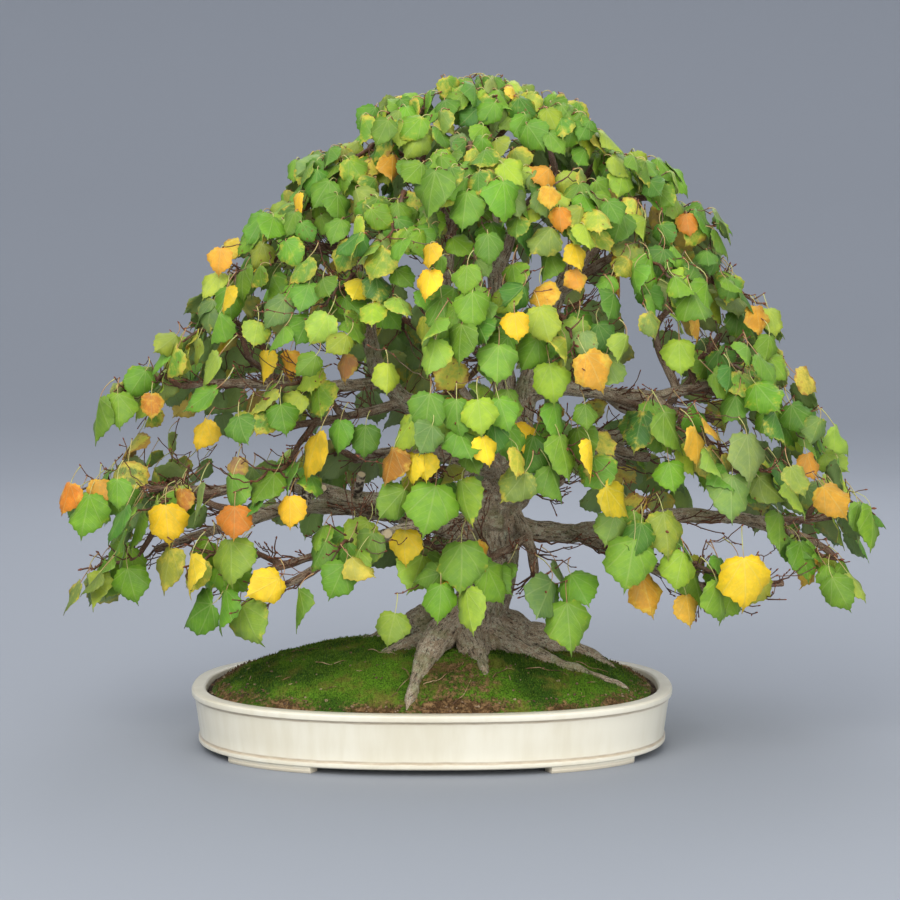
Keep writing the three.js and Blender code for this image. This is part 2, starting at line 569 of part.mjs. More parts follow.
// A blade with its stalk, one flat-sided solid folded along the midrib
function leafSolid(leaf, foot, grow = 0) {
  const { tip, out, across } = leafAxes(leaf);
  const { base, length } = leaf;
  const fold = (FOLD_LEAST + FOLD_RANGE * leaf.fold) * length;
  const spot = (u, v, n) => {
    const place = base.clone().addScaledVector(tip, u * length);
    return place.addScaledVector(across, v * length).addScaledVector(out, -n);
  };
  const wave = WAVE_RANGE * leaf.wave * length;
  const stalk = base.clone().sub(foot).normalize();
  let stalkSide = across.clone().addScaledVector(stalk, -across.dot(stalk));
  if (stalkSide.length() < 0.2) stalkSide = tip.clone().addScaledVector(stalk, -tip.dot(stalk));
  stalkSide.normalize();
  const stalkFace = stalk.clone().cross(stalkSide).normalize();
  const notchRise = out.clone().multiplyScalar(LEAF_THICKNESS).addScaledVector(tip, -2 * NOTCH_SLANT);
  if (stalkFace.dot(notchRise) < 0) stalkFace.negate();
  const half = STALK_WIDTH / 2 + grow;
  const thick = LEAF_THICKNESS / 2 + grow;
  const rim = [
    spot(0, (NOTCH_HALF + grow) / length, 0),
    spot(LOBE[0], LOBE[1], LOBE_FOLD * fold),
    spot(WIDEST[0], WIDEST[1], fold + wave),
    spot(TIP_REACH, 0, TIP_FOLD * fold - wave),
    spot(WIDEST[0], -WIDEST[1], fold - wave),
    spot(LOBE[0], -LOBE[1], LOBE_FOLD * fold),
    spot(0, -(NOTCH_HALF + grow) / length, 0),
  ];
  const count = rim.length;
  const side = (way) => rim.map((corner, i) => {
    const moved = corner.clone().addScaledVector(out, way * thick);
    const atNotch = i === 0 || i === count - 1;
    return atNotch ? moved.addScaledVector(tip, -way * NOTCH_SLANT) : moved;
  });
  const sunk = foot.clone().addScaledVector(stalk, STALK_START);
  const corners = [
    ...side(1),
    ...side(-1),
    sunk.clone().addScaledVector(stalkFace, half),
    sunk.clone().addScaledVector(stalkFace, -half).addScaledVector(stalkSide, half),
    sunk.clone().addScaledVector(stalkFace, -half).addScaledVector(stalkSide, -half),
  ];
  const [upper, lowLeft, lowRight] = [2 * count, 2 * count + 1, 2 * count + 2];
  const last = count - 1;
  const blade = [[0, 1, 2], [0, 2, 3], [0, 3, last], [last, 3, 4], [last, 4, 5]];
  const faces = [];
  for (const [p, q, r] of blade) faces.push(p, q, r, p + count, r + count, q + count);
  for (let i = 0; i < last; i += 1) {
    faces.push(i, i + count, i + 1 + count, i, i + 1 + count, i + 1);
  }
  faces.push(upper, 0, last, lowLeft, last + count, count, lowLeft, lowRight, last + count);
  faces.push(0, upper, lowLeft, 0, lowLeft, count);
  faces.push(last, last + count, lowRight, last, lowRight, upper);
  faces.push(upper, lowRight, lowLeft);
  return solidFromFaces(corners, faces);
}

// Whether a straight stalk from the foot can meet the blade's notch without folding back over the blade
function stalkMeets(leaf, foot) {
  const { tip, out } = leafAxes(leaf);
  const stalk = leaf.base.clone().sub(foot).normalize();
  return stalk.dot(tip) * LEAF_THICKNESS + stalk.dot(out) * 2 * NOTCH_SLANT > LEAST_STALK_FACING;
}

// Stations along all the routed wood, where side branches can start
function woodStations(routes) {
  const found = [];
  for (const rows of routes) {
    const stations = smoothRoute(rows, 4);
    stations.forEach((station, i) => {
      if (i === 0) return;
      const way = station.place.clone().sub(stations[i - 1].place).normalize();
      found.push({ ...station, way });
    });
  }
  return found;
}

// The side branch from the best place on the wood to a spray's start. It leaves the limb along the limb's
// own way, sags a little and comes to the start from behind, in line with the twig.
const TURN_COST = 1.7;
const BEND_AT = 0.45;
const BEND_ALONG = 0.12;
const BEND_SAG = 0.04;
const LAST_STRETCH = 0.3;

function sideBranch(frame, stations) {
  let best = null;
  let least = Infinity;
  for (const station of stations) {
    const gap = frame.start.clone().sub(station.place);
    const cost = gap.length() * (TURN_COST - station.way.dot(gap.clone().normalize()));
    if (cost < least) {
      least = cost;
      best = station;
    }
  }
  const from = best.place;
  const reach = from.distanceTo(frame.start);
  const bend = from.clone().lerp(frame.start, BEND_AT).addScaledVector(best.way, BEND_ALONG * reach);
  bend.z -= BEND_SAG * reach;
  const ahead = bend.clone().sub(frame.start).dot(frame.toward) + LAST_STRETCH * reach;
  if (ahead > 0) bend.addScaledVector(frame.toward, -ahead);
  const thick = Math.min(0.72 * best.radius, TWIG_RADIUS + 0.02 * reach + 0.5);
  return [
    { place: from, radius: thick },
    { place: bend, radius: 0.5 * (thick + TWIG_RADIUS) },
    { place: frame.start, radius: TWIG_RADIUS, way: frame.toward },
  ];
}

// Pieces already in place, against which a twig or a leaf is tried
const placed = [];

function boxOf(solid) {
  const { min, max } = solid.boundingBox();
  return new THREE.Box3(point(...min), point(...max));
}

function place(owner, solid) {
  placed.push({ owner, solid, box: boxOf(solid) });
}

function clashes(solid, exempt) {
  const box = boxOf(solid);
  return placed.some((other) => {
    if (other.owner === exempt || !other.box.intersectsBox(box)) return false;
    return !other.solid.intersect(solid).isEmpty();
  });
}

// Nearest point of a spray's twig to a leaf's base, a little in from the twig's ends
function footOn(stations, base) {
  const spots = stations.slice(1).map((station, i) => {
    const line = new THREE.Line3(stations[i].place, station.place);
    return line.closestPointToPoint(base, true, point(0, 0, 0));
  });
  const best = spots.reduce((a, b) => (b.distanceTo(base) < a.distanceTo(base) ? b : a));
  const [first, second] = stations.map((station) => station.place);
  const last = stations.at(-1).place;
  const low = first.clone().lerp(second, 0.15);
  if (best.distanceTo(first) < low.distanceTo(first)) return low;
  if (best.distanceTo(last) < 1) return last.clone().lerp(second, 0.05);
  return best;
}

// The trunk's foot swells into ridges that run into the roots.
const RIDGES_FROM = 160;
const RIDGES_FULL = 100;
const TRUNK_SIDES = 10;
const ROOT_SIDES = 5;
const THICK_LIMB = 11;

function makeTrunk(grow) {
  const ridges = (angle, { z }) => {
    const share = THREE.MathUtils.clamp((RIDGES_FROM - z) / (RIDGES_FROM - RIDGES_FULL), 0, 1);
    return 1 + share * (0.1 * Math.cos(3 * angle + 0.6) + 0.06 * Math.cos(5 * angle));
  };
  return tube(smoothRoute(TRUNK, 1), TRUNK_SIDES, grow, ridges);
}

// The trunk with its surface roots, or the hollow that they stand in when grown by a gap
function makeGround(grow) {
  const roots = ROOTS.map((rows) => tube(smoothRoute(rows, 1), ROOT_SIDES, grow));
  return roots.reduce((whole, root) => whole.add(root), makeTrunk(grow));
}

const frames = SPRAYS.map(sprayFrame);
const limbRows = Object.values(LIMBS);
const wayStations = woodStations([TRUNK, ...limbRows]);
const branches = frames.map((frame) => sideBranch(frame, wayStations));

function makeWood() {
  const limbs = limbRows.map((rows) => tube(smoothRoute(rows, 1), rows[0][3] > THICK_LIMB ? 5 : 4));
  const thin = branches.map((branch) => tube(branch, 3));
  const whole = [...limbs, ...thin].reduce((wood, limb) => wood.add(limb), makeGround(0));
  return largestBody(whole);
}

const rootHollow = makeGround(GAP);
const pot = makePot();
const moss = makeMoss(rootHollow);
const soil = makeSoil(rootHollow);
const wood = makeWood();
place("pot", pot);
place("moss", moss);
place("wood", wood);

// A spray starts as its twig, face to face with the end of its side branch.
function startSpray(frame) {
  const stations = [
    { place: frame.start.clone().addScaledVector(frame.toward, GAP), radius: TWIG_RADIUS },
    { place: frame.lifted, radius: 0.5 * (TWIG_RADIUS + TWIG_TIP_RADIUS) },
    { place: frame.end, radius: TWIG_TIP_RADIUS },
  ];
  const twig = tube(stations, 3);
  place(frame.name, twig);
  return { frame, stations, body: twig, leaves: 0 };
}

const sprays = frames.map(startSpray);

// Fuses a leaf to a spray if its stalk reaches, it is clear of all else and it joins in few faces
function tryLeaf(spray, leaf, mostFaces) {
  const foot = footOn(spray.stations, leaf.base);
  const far = foot.distanceTo(leaf.base);
  if (far > LONGEST_STALK || far < SHORTEST_STALK || !stalkMeets(leaf, foot)) return false;
  if (clashes(leafSolid(leaf, foot, CLEARANCE / 2), spray.frame.name)) return false;
  const solid = leafSolid(leaf, foot);
  const joined = spray.body.add(solid);
  if (joined.numTri() - spray.body.numTri() > mostFaces) return false;
  if (joined.decompose().length > 1) return false;
  place("leaf", solid);
  spray.body = joined;
  spray.leaves += 1;
  return true;
}

// The sprays whose twigs could best carry a leaf: near its base, and rather above it than below
function nearestSprays(base) {
  const reach = (spray) => {
    const foot = footOn(spray.stations, base);
    return foot.distanceTo(base) + Math.max(0, base.z - foot.z);
  };
  return [...sprays].sort((a, b) => reach(a) - reach(b)).slice(0, 3);
}

// Small moves to the front or back that bring a front leaf clear of its neighbours
const LEAF_MOVES = [0, -8, 8, -16, 16, -26, 26];

FRONT_LEAVES.forEach(([x, y, z, length, lean, turn], i) => {
  const wave = ((i % 5) - 2) / 3;
  const shape = { length, lean, turn, tilt: FRONT_TILT, fold: FRONT_FOLD, wave };
  LEAF_MOVES.some((move) => {
    const leaf = { base: point(x, y + move, z), ...shape };
    return nearestSprays(leaf.base).some((spray) => tryLeaf(spray, leaf, MOST_FACES_A_FRONT_LEAF));
  });
});

// The other leaves are tried from the rim of each spray inwards, by every third one.
for (const spray of sprays) {
  const candidates = sprayLeaves(spray.frame).reverse();
  for (let first = 0; first < 3; first += 1) {
    for (let k = first; k < candidates.length; k += 3) {
      if (spray.leaves < LEAVES_A_SPRAY) tryLeaf(spray, candidates[k], MOST_FACES_A_LEAF);
    }
  }
}

const group = new THREE.Group();
const finish = (color, roughness) => new THREE.MeshStandardMaterial({ color, roughness, metalness: 0 });

function addNode(name, solid, material) {
  const mesh = new THREE.Mesh(geometryOf(solid), material);
  mesh.name = name;
  group.add(mesh);
}

addNode("pot", pot, finish(0xe2dac0, 0.45));
addNode("drain_screen_left", makeScreen(-1), finish(0x2c2e2c, 0.7));
addNode("drain_screen_right", makeScreen(1), finish(0x2c2e2c, 0.7));
addNode("soil", soil, finish(0x4a3a2a, 0.95));
addNode("moss", moss, finish(0x3f6b18, 0.95));
addNode("wood", wood, finish(0x6b5f50, 0.9));
for (const { frame, body } of sprays) addNode("spray_" + frame.name, body, finish(0x6fa53a, 0.6));

// The part's own zero is the middle of the underside of its whole box.
const whole = new THREE.Box3().setFromObject(group);
const middle = whole.getCenter(point(0, 0, 0));
for (const mesh of group.children) mesh.position.set(-middle.x, -middle.y, -whole.min.z);

export default group;
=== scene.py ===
# %% [markdown]
# # A linden bonsai in a shallow oval pot
#
# This lesson dresses a bonsai whose pieces already have their true size and place. We make the glazed pot,
# the mossy mound, the old wood with its bark, and every leafy spray. All sizes below are millimetres, as a
# gardener would measure them, and one short helper turns them into Blender's metres.

import math
import random

import bmesh
import bpy
import numpy as np
from mathutils import Matrix, Vector, kdtree, noise


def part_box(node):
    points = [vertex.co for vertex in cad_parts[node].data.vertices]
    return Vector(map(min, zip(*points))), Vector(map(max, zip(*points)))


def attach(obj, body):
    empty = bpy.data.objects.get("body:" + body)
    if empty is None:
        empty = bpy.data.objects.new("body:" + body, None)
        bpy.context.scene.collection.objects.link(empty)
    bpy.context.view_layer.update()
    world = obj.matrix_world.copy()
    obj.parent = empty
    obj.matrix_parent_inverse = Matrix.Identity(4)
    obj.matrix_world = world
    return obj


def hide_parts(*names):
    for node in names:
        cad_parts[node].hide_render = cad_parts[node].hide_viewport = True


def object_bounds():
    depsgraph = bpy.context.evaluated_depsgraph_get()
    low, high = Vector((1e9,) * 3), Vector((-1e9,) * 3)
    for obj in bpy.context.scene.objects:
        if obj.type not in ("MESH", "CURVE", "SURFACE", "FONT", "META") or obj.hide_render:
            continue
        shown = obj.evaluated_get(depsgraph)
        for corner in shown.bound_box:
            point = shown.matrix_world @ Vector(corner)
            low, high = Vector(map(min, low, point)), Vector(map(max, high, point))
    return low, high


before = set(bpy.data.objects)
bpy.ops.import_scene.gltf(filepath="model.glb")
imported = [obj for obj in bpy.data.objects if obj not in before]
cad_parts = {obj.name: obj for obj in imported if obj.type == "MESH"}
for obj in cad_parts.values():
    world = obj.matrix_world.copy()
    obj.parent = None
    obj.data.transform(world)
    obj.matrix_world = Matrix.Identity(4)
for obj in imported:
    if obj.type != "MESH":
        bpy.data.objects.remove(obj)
cad_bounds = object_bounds()

MM = 0.001
UP = Vector((0, 0, 1))
pot_low, pot_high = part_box("pot")
POT_MIDDLE = Vector(((pot_low[0] + pot_high[0]) / 2, (pot_low[1] + pot_high[1]) / 2, 0))


def place(x, y, z):
    """A point in millimetres from the middle of the pot's underside, as a place in the scene."""
    return Vector((x, y, z)) * MM + POT_MIDDLE


print("pot, metres:", [round(high - low, 3) for low, high in zip(pot_low, pot_high)])

# %% [markdown]
# ## The camera
#
# The tree is seen from just above the rim of its pot, from far enough away that its near and far leaves look
# the same size. A long lens from two and a half metres gives that calm look.

# %% Camera
VIEW_ELEVATION = math.radians(5.2)
VIEW_DISTANCE = 2.5
VIEW_HALF_FRAME = 450
VIEW_FOCUS = 2381
VIEW_AIM_RIGHT = 18.9
VIEW_AIM_UP = 309

camera_data = bpy.data.cameras.new("view")
camera_data.angle = 2 * math.atan(VIEW_HALF_FRAME / VIEW_FOCUS)
camera_data.clip_end = 50
camera = bpy.data.objects.new("view", camera_data)
toward_camera = Vector((0, -math.cos(VIEW_ELEVATION), math.sin(VIEW_ELEVATION)))
camera.location = place(VIEW_AIM_RIGHT, 0, VIEW_AIM_UP) + toward_camera * VIEW_DISTANCE
camera.rotation_euler = (math.pi / 2 - VIEW_ELEVATION, 0, 0)
bpy.context.scene.collection.objects.link(camera)
bpy.context.scene.camera = camera
print("camera at", [round(v, 3) for v in camera.location])

# %% [markdown]
# ## Writing finishes as sums
#
# A material is a small machine of nodes. Written as plain sums in Python it is easy to read: `1 - edge` adds a
# Math node, and `finish.mix(a, b, mask)` adds a Mix node for colours. Two small classes do that.

# %% Shader sums


class Amount:
    """A node's output that takes part in sums."""

    def __init__(self, finish, socket):
        self.finish = finish
        self.socket = socket

    def math(self, operation, *others):
        sockets = dict(enumerate((self, *others)))
        return self.finish.node("ShaderNodeMath", {"operation": operation}, sockets)

    def __add__(self, other):
        return self.math("ADD", other)

    __radd__ = __add__

    def __sub__(self, other):
        return self.math("SUBTRACT", other)

    def __rsub__(self, other):
        return (self * -1) + other

    def __mul__(self, other):
        return self.math("MULTIPLY", other)

    __rmul__ = __mul__

    def __abs__(self):
        return self.math("ABSOLUTE")

    def fraction(self):
        return self.math("FRACT")

    def most(self, other):
        return self.math("MAXIMUM", other)

    def rise(self, low, high):
        """0 below low, 1 above high, and a smooth rise between them."""
        settings = {"interpolation_type": "SMOOTHSTEP"}
        sockets = {"Value": self, "From Min": low, "From Max": high}
        return self.finish.node("ShaderNodeMapRange", settings, sockets)


class Finish:
    """A material, its shader and the nodes that feed it."""

    def __init__(self, name, **constants):
        self.material = bpy.data.materials.new(name)
        self.material.use_nodes = True
        self.tree = self.material.node_tree
        self.shader = self.tree.nodes["Principled BSDF"]
        for socket, value in constants.items():
            self.shader.inputs[socket.replace("_", " ")].default_value = value

    def feed(self, socket, value):
        if isinstance(value, Amount):
            self.tree.links.new(value.socket, socket)
        elif isinstance(value, tuple) and len(value) < len(socket.default_value):
            socket.default_value = (*value, 1)
        else:
            socket.default_value = value

    def node(self, kind, settings=None, sockets=None, output=0):
        made = self.tree.nodes.new(kind)
        for key, value in (settings or {}).items():
            if key == "stops":
                self.set_stops(made.color_ramp.elements, value)
            else:
                setattr(made, key, value)
        for key, value in (sockets or {}).items():
            self.feed(made.inputs[key], value)
        return Amount(self, made.outputs[output])

    def set_stops(self, elements, stops):
        while len(elements) < len(stops):
            elements.new(0.5)
        for element, (position, color) in zip(elements, stops):
            element.position = position
            element.color = (*color, 1)

    def ramp(self, amount, stops):
        """Colours along an amount: stops are pairs of a position and a colour."""
        return self.node("ShaderNodeValToRGB", {"stops": stops}, {"Fac": amount})

    def mix(self, first, second, factor, blend="MIX"):
        settings = {"data_type": "RGBA", "blend_type": blend}
        return self.node("ShaderNodeMix", settings, {0: factor, 6: first, 7: second}, 2)

    def where(self):
        """The piece's own coordinates, in metres."""
        return self.node("ShaderNodeTexCoord", output="Object")

    def stored(self, name, output="Fac"):
        """A value, vector or colour that the mesh carries."""
        return self.node("ShaderNodeAttribute", {"attribute_name": name}, {}, output)

    def parts(self, vector):
        """The three numbers of a vector."""
        split = self.node("ShaderNodeSeparateXYZ", {}, {0: vector})
        return [Amount(self, socket) for socket in split.socket.node.outputs]

    def scaled(self, vector, x, y, z):
        return self.node("ShaderNodeMapping", {}, {"Vector": vector, "Scale": (x, y, z)})

    def noise(self, vector, scale, detail=3.0, roughness=0.5):
        sockets = {"Vector": vector, "Scale": scale, "Detail": detail, "Roughness": roughness}
        return self.node("ShaderNodeTexNoise", {}, sockets)

    def cells(self, vector, scale, feature="F1"):
        return self.node("ShaderNodeTexVoronoi", {"feature": feature}, {"Vector": vector, "Scale": scale})

    def bump(self, height, strength, distance):
        sockets = {"Height": height, "Strength": strength, "Distance": distance}
        self.paint("Normal", self.node("ShaderNodeBump", {}, sockets))

    def paint(self, socket, value):
        self.feed(self.shader.inputs[socket], value)


def srgb(red, green, blue):
    """A colour as seen on a screen, 0 to 255, as the light that Blender works with."""
    return tuple(((c / 255 + 0.055) / 1.055) ** 2.4 if c > 10 else c / 255 / 12.92 for c in (red, green, blue))


# %% [markdown]
# ## Small mesh helpers
#
# Each finished piece is one object at the scene's origin with its place in its mesh. `keep` makes that object,
# lets it ride with the root body and hides the parts of the model that it stands for.

# %% Mesh helpers
triangle_counts = {}
BLOCK = 100


def as_mesh(name, bm):
    mesh = bpy.data.meshes.new(name)
    bm.to_mesh(mesh)
    bm.free()
    return mesh


def keep(name, mesh, finish, slot, *nodes, smooth=True):
    """Makes a finished mesh into a piece of the bonsai."""
    if smooth:
        mesh.shade_smooth()
    mesh.materials.clear()
    mesh.materials.append(finish.material)
    piece = bpy.data.objects.new(name, mesh)
    bpy.context.scene.collection.objects.link(piece)
    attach(piece, "root")
    if nodes:
        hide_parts(*nodes)
    mesh.calc_loop_triangles()
    triangle_counts[name] = len(mesh.loop_triangles)
    return piece


def settled(data, *modifiers):
    """The mesh that a curve or a mesh becomes with its modifiers applied."""
    thing = bpy.data.objects.new(data.name, data)
    bpy.context.scene.collection.objects.link(thing)
    for kind, settings in modifiers:
        modifier = thing.modifiers.new(kind.lower(), kind)
        for key, value in settings.items():
            setattr(modifier, key, value)
    bpy.context.view_layer.update()
    mesh = bpy.data.meshes.new_from_object(thing.evaluated_get(bpy.context.evaluated_depsgraph_get()))
    bpy.data.objects.remove(thing)
    return mesh


def copies(name, template, count):
    """One mesh that holds a number of copies of a small mesh, one after the other."""
    bm = bmesh.new()
    if count > BLOCK:
        block = copies("block", template, BLOCK)
        for _ in range(count // BLOCK):
            bm.from_mesh(block)
        bpy.data.meshes.remove(block)
    for _ in range(count % BLOCK if count > BLOCK else count):
        bm.from_mesh(template)
    return as_mesh(name, bm)


def scattered(name, template, turns):
    """Copies of a small mesh, each set in its place by a 4 by 4 matrix."""
    mesh = copies(name, template, len(turns))
    shape = np.column_stack([vertices(template), np.ones(len(template.vertices))])
    placed = np.einsum("nij,vj->nvi", np.array(turns)[:, :3, :], shape)
    mesh.vertices.foreach_set("co", placed.ravel())
    mesh.update()
    return mesh


def standing(spot, way, width, height):
    """The matrix that stands a small mesh on a spot, along a way, with its width and height in millimetres."""
    turn = way.to_track_quat("Z", "Y").to_matrix().to_4x4()
    turn.translation = place(*spot)
    return turn @ Matrix.Diagonal((width * MM, width * MM, height * MM, 1))


def vertices(mesh):
    """All places of a mesh as rows of an array."""
    found = np.empty(len(mesh.vertices) * 3)
    mesh.vertices.foreach_get("co", found)
    return found.reshape(-1, 3)


def store(mesh, name, kind, values):
    """Gives every point of a mesh a value that a finish can read."""
    field = {"FLOAT": "value", "FLOAT_VECTOR": "vector", "FLOAT_COLOR": "color"}[kind]
    layer = mesh.attributes.new(name, kind, "POINT")
    layer.data.foreach_set(field, np.asarray(values, dtype=np.float32).ravel())


# %% [markdown]
# ## The pot
#
# The pot is a shallow oval bowl pressed from stoneware and glazed a warm cream. Its outline is a little fuller
# than an ellipse, so we start from a circle and push its points out. Extruding that loop from ring to ring
# draws the wall, its low band and its lip, and a bevel rounds every edge as the glaze does.

# %% Pot sizes
POT_LENGTH = 506
POT_DEPTH = 366
OVAL_EXPONENT = 2.45
OVAL_SEGMENTS = 144
FOOT_HEIGHT = 6.5
RIM_WIDTH = 15
LIP_BOTTOM = 56
FLOOR_TOP = 12.5
DRAIN_OFFSET = 110
DRAIN_RADIUS = 11


def oval(angle, inset, share=1.0):
    """A point of the pot's oval, moved in from the lip's outer edge by the inset."""
    c, s = math.cos(angle), math.sin(angle)
    power = 2 / OVAL_EXPONENT
    x = (POT_LENGTH / 2 - inset) * share * math.copysign(abs(c) ** power, c)
    y = (POT_DEPTH / 2 - inset) * share * math.copysign(abs(s) ** power, s)
    return x, y


class Loop:
    """A closed loop of points that is extruded from one ring to the next."""

    def __init__(self, bm, segments, move):
        self.bm = bm
        ring = bmesh.ops.create_circle(bm, segments=segments, radius=1)["verts"]
        self.angles = {v: math.atan2(v.co.y, v.co.x) for v in ring}
        self.shape(move)

    def shape(self, move):
        for v, angle in self.angles.items():
            v.co = move(angle)

    def edges(self):
        return list({e for v in self.angles for e in v.link_edges if e.other_vert(v) in self.angles})

    def extrude(self, move):
        made = bmesh.ops.extrude_edge_only(self.bm, edges=self.edges())["geom"]
        fresh = [g for g in made if isinstance(g, bmesh.types.BMVert)]
        older = self.angles
        self.angles = {}
        for v in fresh:
            self.angles[v] = next(older[e.other_vert(v)] for e in v.link_edges if e.other_vert(v) in older)
        self.shape(move)

    def fill(self):
        bmesh.ops.edgeloop_fill(self.bm, edges=self.edges())


# %% Pot body
POT_RINGS = [
    (34, FOOT_HEIGHT), (9.5, FOOT_HEIGHT), (7, FOOT_HEIGHT + 1.6), (7, FOOT_HEIGHT + 5.4),
    (8.8, FOOT_HEIGHT + 6.8), (6.9, 28), (5, 42), (3.2, LIP_BOTTOM - 1.6), (2.6, LIP_BOTTOM - 0.6),
    (0.2, LIP_BOTTOM + 0.4), (0, LIP_BOTTOM + 5.4), (1.6, 63), (13.2, 63), (RIM_WIDTH, 61.4),
    (RIM_WIDTH + 0.8, 57), (RIM_WIDTH + 3, 38), (RIM_WIDTH + 7, 16), (RIM_WIDTH + 19, FLOOR_TOP),
]
POT_ROUNDING = 0.5


def ring_at(inset, z):
    return lambda angle: place(*oval(angle, inset), z)


def make_pot():
    bm = bmesh.new()
    loop = Loop(bm, OVAL_SEGMENTS, ring_at(*POT_RINGS[0]))
    loop.fill()
    for inset, z in POT_RINGS[1:]:
        loop.extrude(ring_at(inset, z))
    loop.fill()
    bmesh.ops.recalc_face_normals(bm, faces=bm.faces)
    turned = [e for e in bm.edges if e.calc_face_angle(0) > math.radians(20)]
    bmesh.ops.bevel(bm, geom=turned, offset=POT_ROUNDING * MM, offset_type="OFFSET", segments=2, profile=0.5,
                    affect="EDGES", clamp_overlap=True, material=-1)
    return as_mesh("pot_glazed", bm)


# %% [markdown]
# ### Four feet and two drains
#
# The feet are short blocks that follow the oval, fired onto the bowl. Each one is a cube cut along its length
# and bent to the oval, with a groove pressed round it. The drains are holes through the floor, cut with a
# Boolean because they cross a flat surface cleanly.

# %% Feet and drains
FOOT_START = math.radians(35)
FOOT_END = math.radians(65)
FOOT_CUTS = 13
FOOT_OUTER = 9.3
FOOT_INNER = 24.3
FOOT_BANDS = [(0, 1.4), (2.9, 0.4), (3.7, 0.9), (FOOT_HEIGHT + 3, 0)]


def mean(low, high, share):
    return low + (high - low) * share


def make_foot(mirror_x, mirror_y):
    bm = bmesh.new()
    bmesh.ops.create_cube(bm, size=1)
    along = [e for e in bm.edges if abs(e.verts[0].co.x - e.verts[1].co.x) > 0.5]
    bmesh.ops.subdivide_edges(bm, edges=along, cuts=FOOT_CUTS, use_grid_fill=True)
    upright = [e for e in bm.edges if abs(e.verts[0].co.z - e.verts[1].co.z) > 0.5]
    bmesh.ops.subdivide_edges(bm, edges=upright, cuts=len(FOOT_BANDS) - 2, use_grid_fill=True)
    for v in bm.verts:
        z, slant = FOOT_BANDS[round((v.co.z + 0.5) * (len(FOOT_BANDS) - 1))]
        across = FOOT_OUTER + slant if v.co.y < 0 else FOOT_INNER - slant
        x, y = oval(mean(FOOT_START, FOOT_END, v.co.x + 0.5), across)
        v.co = place(x * mirror_x, y * mirror_y, z)
    bmesh.ops.recalc_face_normals(bm, faces=bm.faces)
    sharp = [e for e in bm.edges if e.calc_face_angle(0) > math.radians(35)]
    bmesh.ops.bevel(bm, geom=sharp, offset=0.6 * MM, offset_type="OFFSET", segments=2, profile=0.5,
                    affect="EDGES", clamp_overlap=True, material=-1)
    return as_mesh("foot", bm)


def drill_for(way):
    """A plug-shaped object that cuts one drain out of the pot's floor."""
    bm = bmesh.new()
    bmesh.ops.create_cone(bm, segments=32, cap_ends=True, radius1=DRAIN_RADIUS * MM, radius2=DRAIN_RADIUS * MM,
                          depth=30 * MM)
    bmesh.ops.translate(bm, verts=bm.verts, vec=place(way * DRAIN_OFFSET, 0, FLOOR_TOP))
    drill = bpy.data.objects.new("drill", as_mesh("drill", bm))
    bpy.context.scene.collection.objects.link(drill)
    return drill


pot_mesh = make_pot()
drills = [drill_for(way) for way in (-1, 1)]
pot_mesh = settled(pot_mesh, *(("BOOLEAN", {"object": drill, "operation": "DIFFERENCE"}) for drill in drills))
for drill in drills:
    bpy.data.objects.remove(drill)
pot_bm = bmesh.new()
pot_bm.from_mesh(pot_mesh)
for mirror_x in (-1, 1):
    for mirror_y in (-1, 1):
        pot_bm.from_mesh(make_foot(mirror_x, mirror_y))
pot_mesh = as_mesh("pot_glazed", pot_bm)
print("pot faces:", len(pot_mesh.polygons))

# %% [markdown]
# ### The glaze
#
# A cream glaze breaks to brown where it runs thin, just under the lip and along the low band at the base. It
# shows fine pinholes and faint upright streaks. All of that depends only on height and on soft noise, so the
# finish reads the piece's own coordinates and needs no picture.

# %% Glaze
GLAZE_CREAM = srgb(236, 228, 204)
GLAZE_PALE = srgb(246, 240, 220)
GLAZE_THIN = srgb(150, 116, 72)
GLAZE_PIT = srgb(96, 78, 52)

glaze = Finish("cream_glaze", Roughness=0.32, Coat_Weight=0.25, Coat_Roughness=0.2)
spot = glaze.where()
height = glaze.parts(spot)[2]
clouds = glaze.noise(spot, 9, 4)
streaks = glaze.noise(glaze.scaled(spot, 60, 60, 5), 1.6, 4)
wander = (glaze.noise(spot, 55, 3) - 0.5) * 0.0016


def band(low, high, soft):
    """1 between two heights in millimetres, with soft ends that wander a little."""
    level = height + wander
    rise = level.rise((low - soft) * MM, (low + soft) * MM)
    return rise * (1 - level.rise((high - soft) * MM, (high + soft) * MM))


thin = band(53.4, 56.4, 0.9) * 0.6 + band(12, 14.6, 0.9) * 0.7
thin = thin + band(-1, 5, 1.5) * 0.3 + band(61.9, 63.2, 0.5) * 0.16
pits = (1 - glaze.cells(spot, 42).rise(0.03, 0.055)) * glaze.noise(spot, 11, 2).rise(0.58, 0.62)
cream = glaze.mix(GLAZE_CREAM, GLAZE_PALE, (clouds * 0.8 + streaks * 0.5).rise(0.45, 0.8))
cream = glaze.mix(cream, GLAZE_THIN, thin * (streaks * 0.9 + 0.35))
glaze.paint("Base Color", glaze.mix(cream, GLAZE_PIT, pits * 0.85))
glaze.paint("Roughness", 0.27 + clouds * 0.16)
glaze.bump(glaze.noise(spot, 70, 2) * 0.35 + streaks * 0.3 - pits * 0.6, 0.25, 0.0008)
keep("pot_glazed", pot_mesh, glaze, "glaze", "pot")
print("pot triangles:", triangle_counts["pot_glazed"])

# %% [markdown]
# ## Screens over the drains
#
# Two squares of plastic mesh lie on the pot's floor and keep the soil in. Their shape is already right, so they
# only get a plastic finish with a little moulding grain.

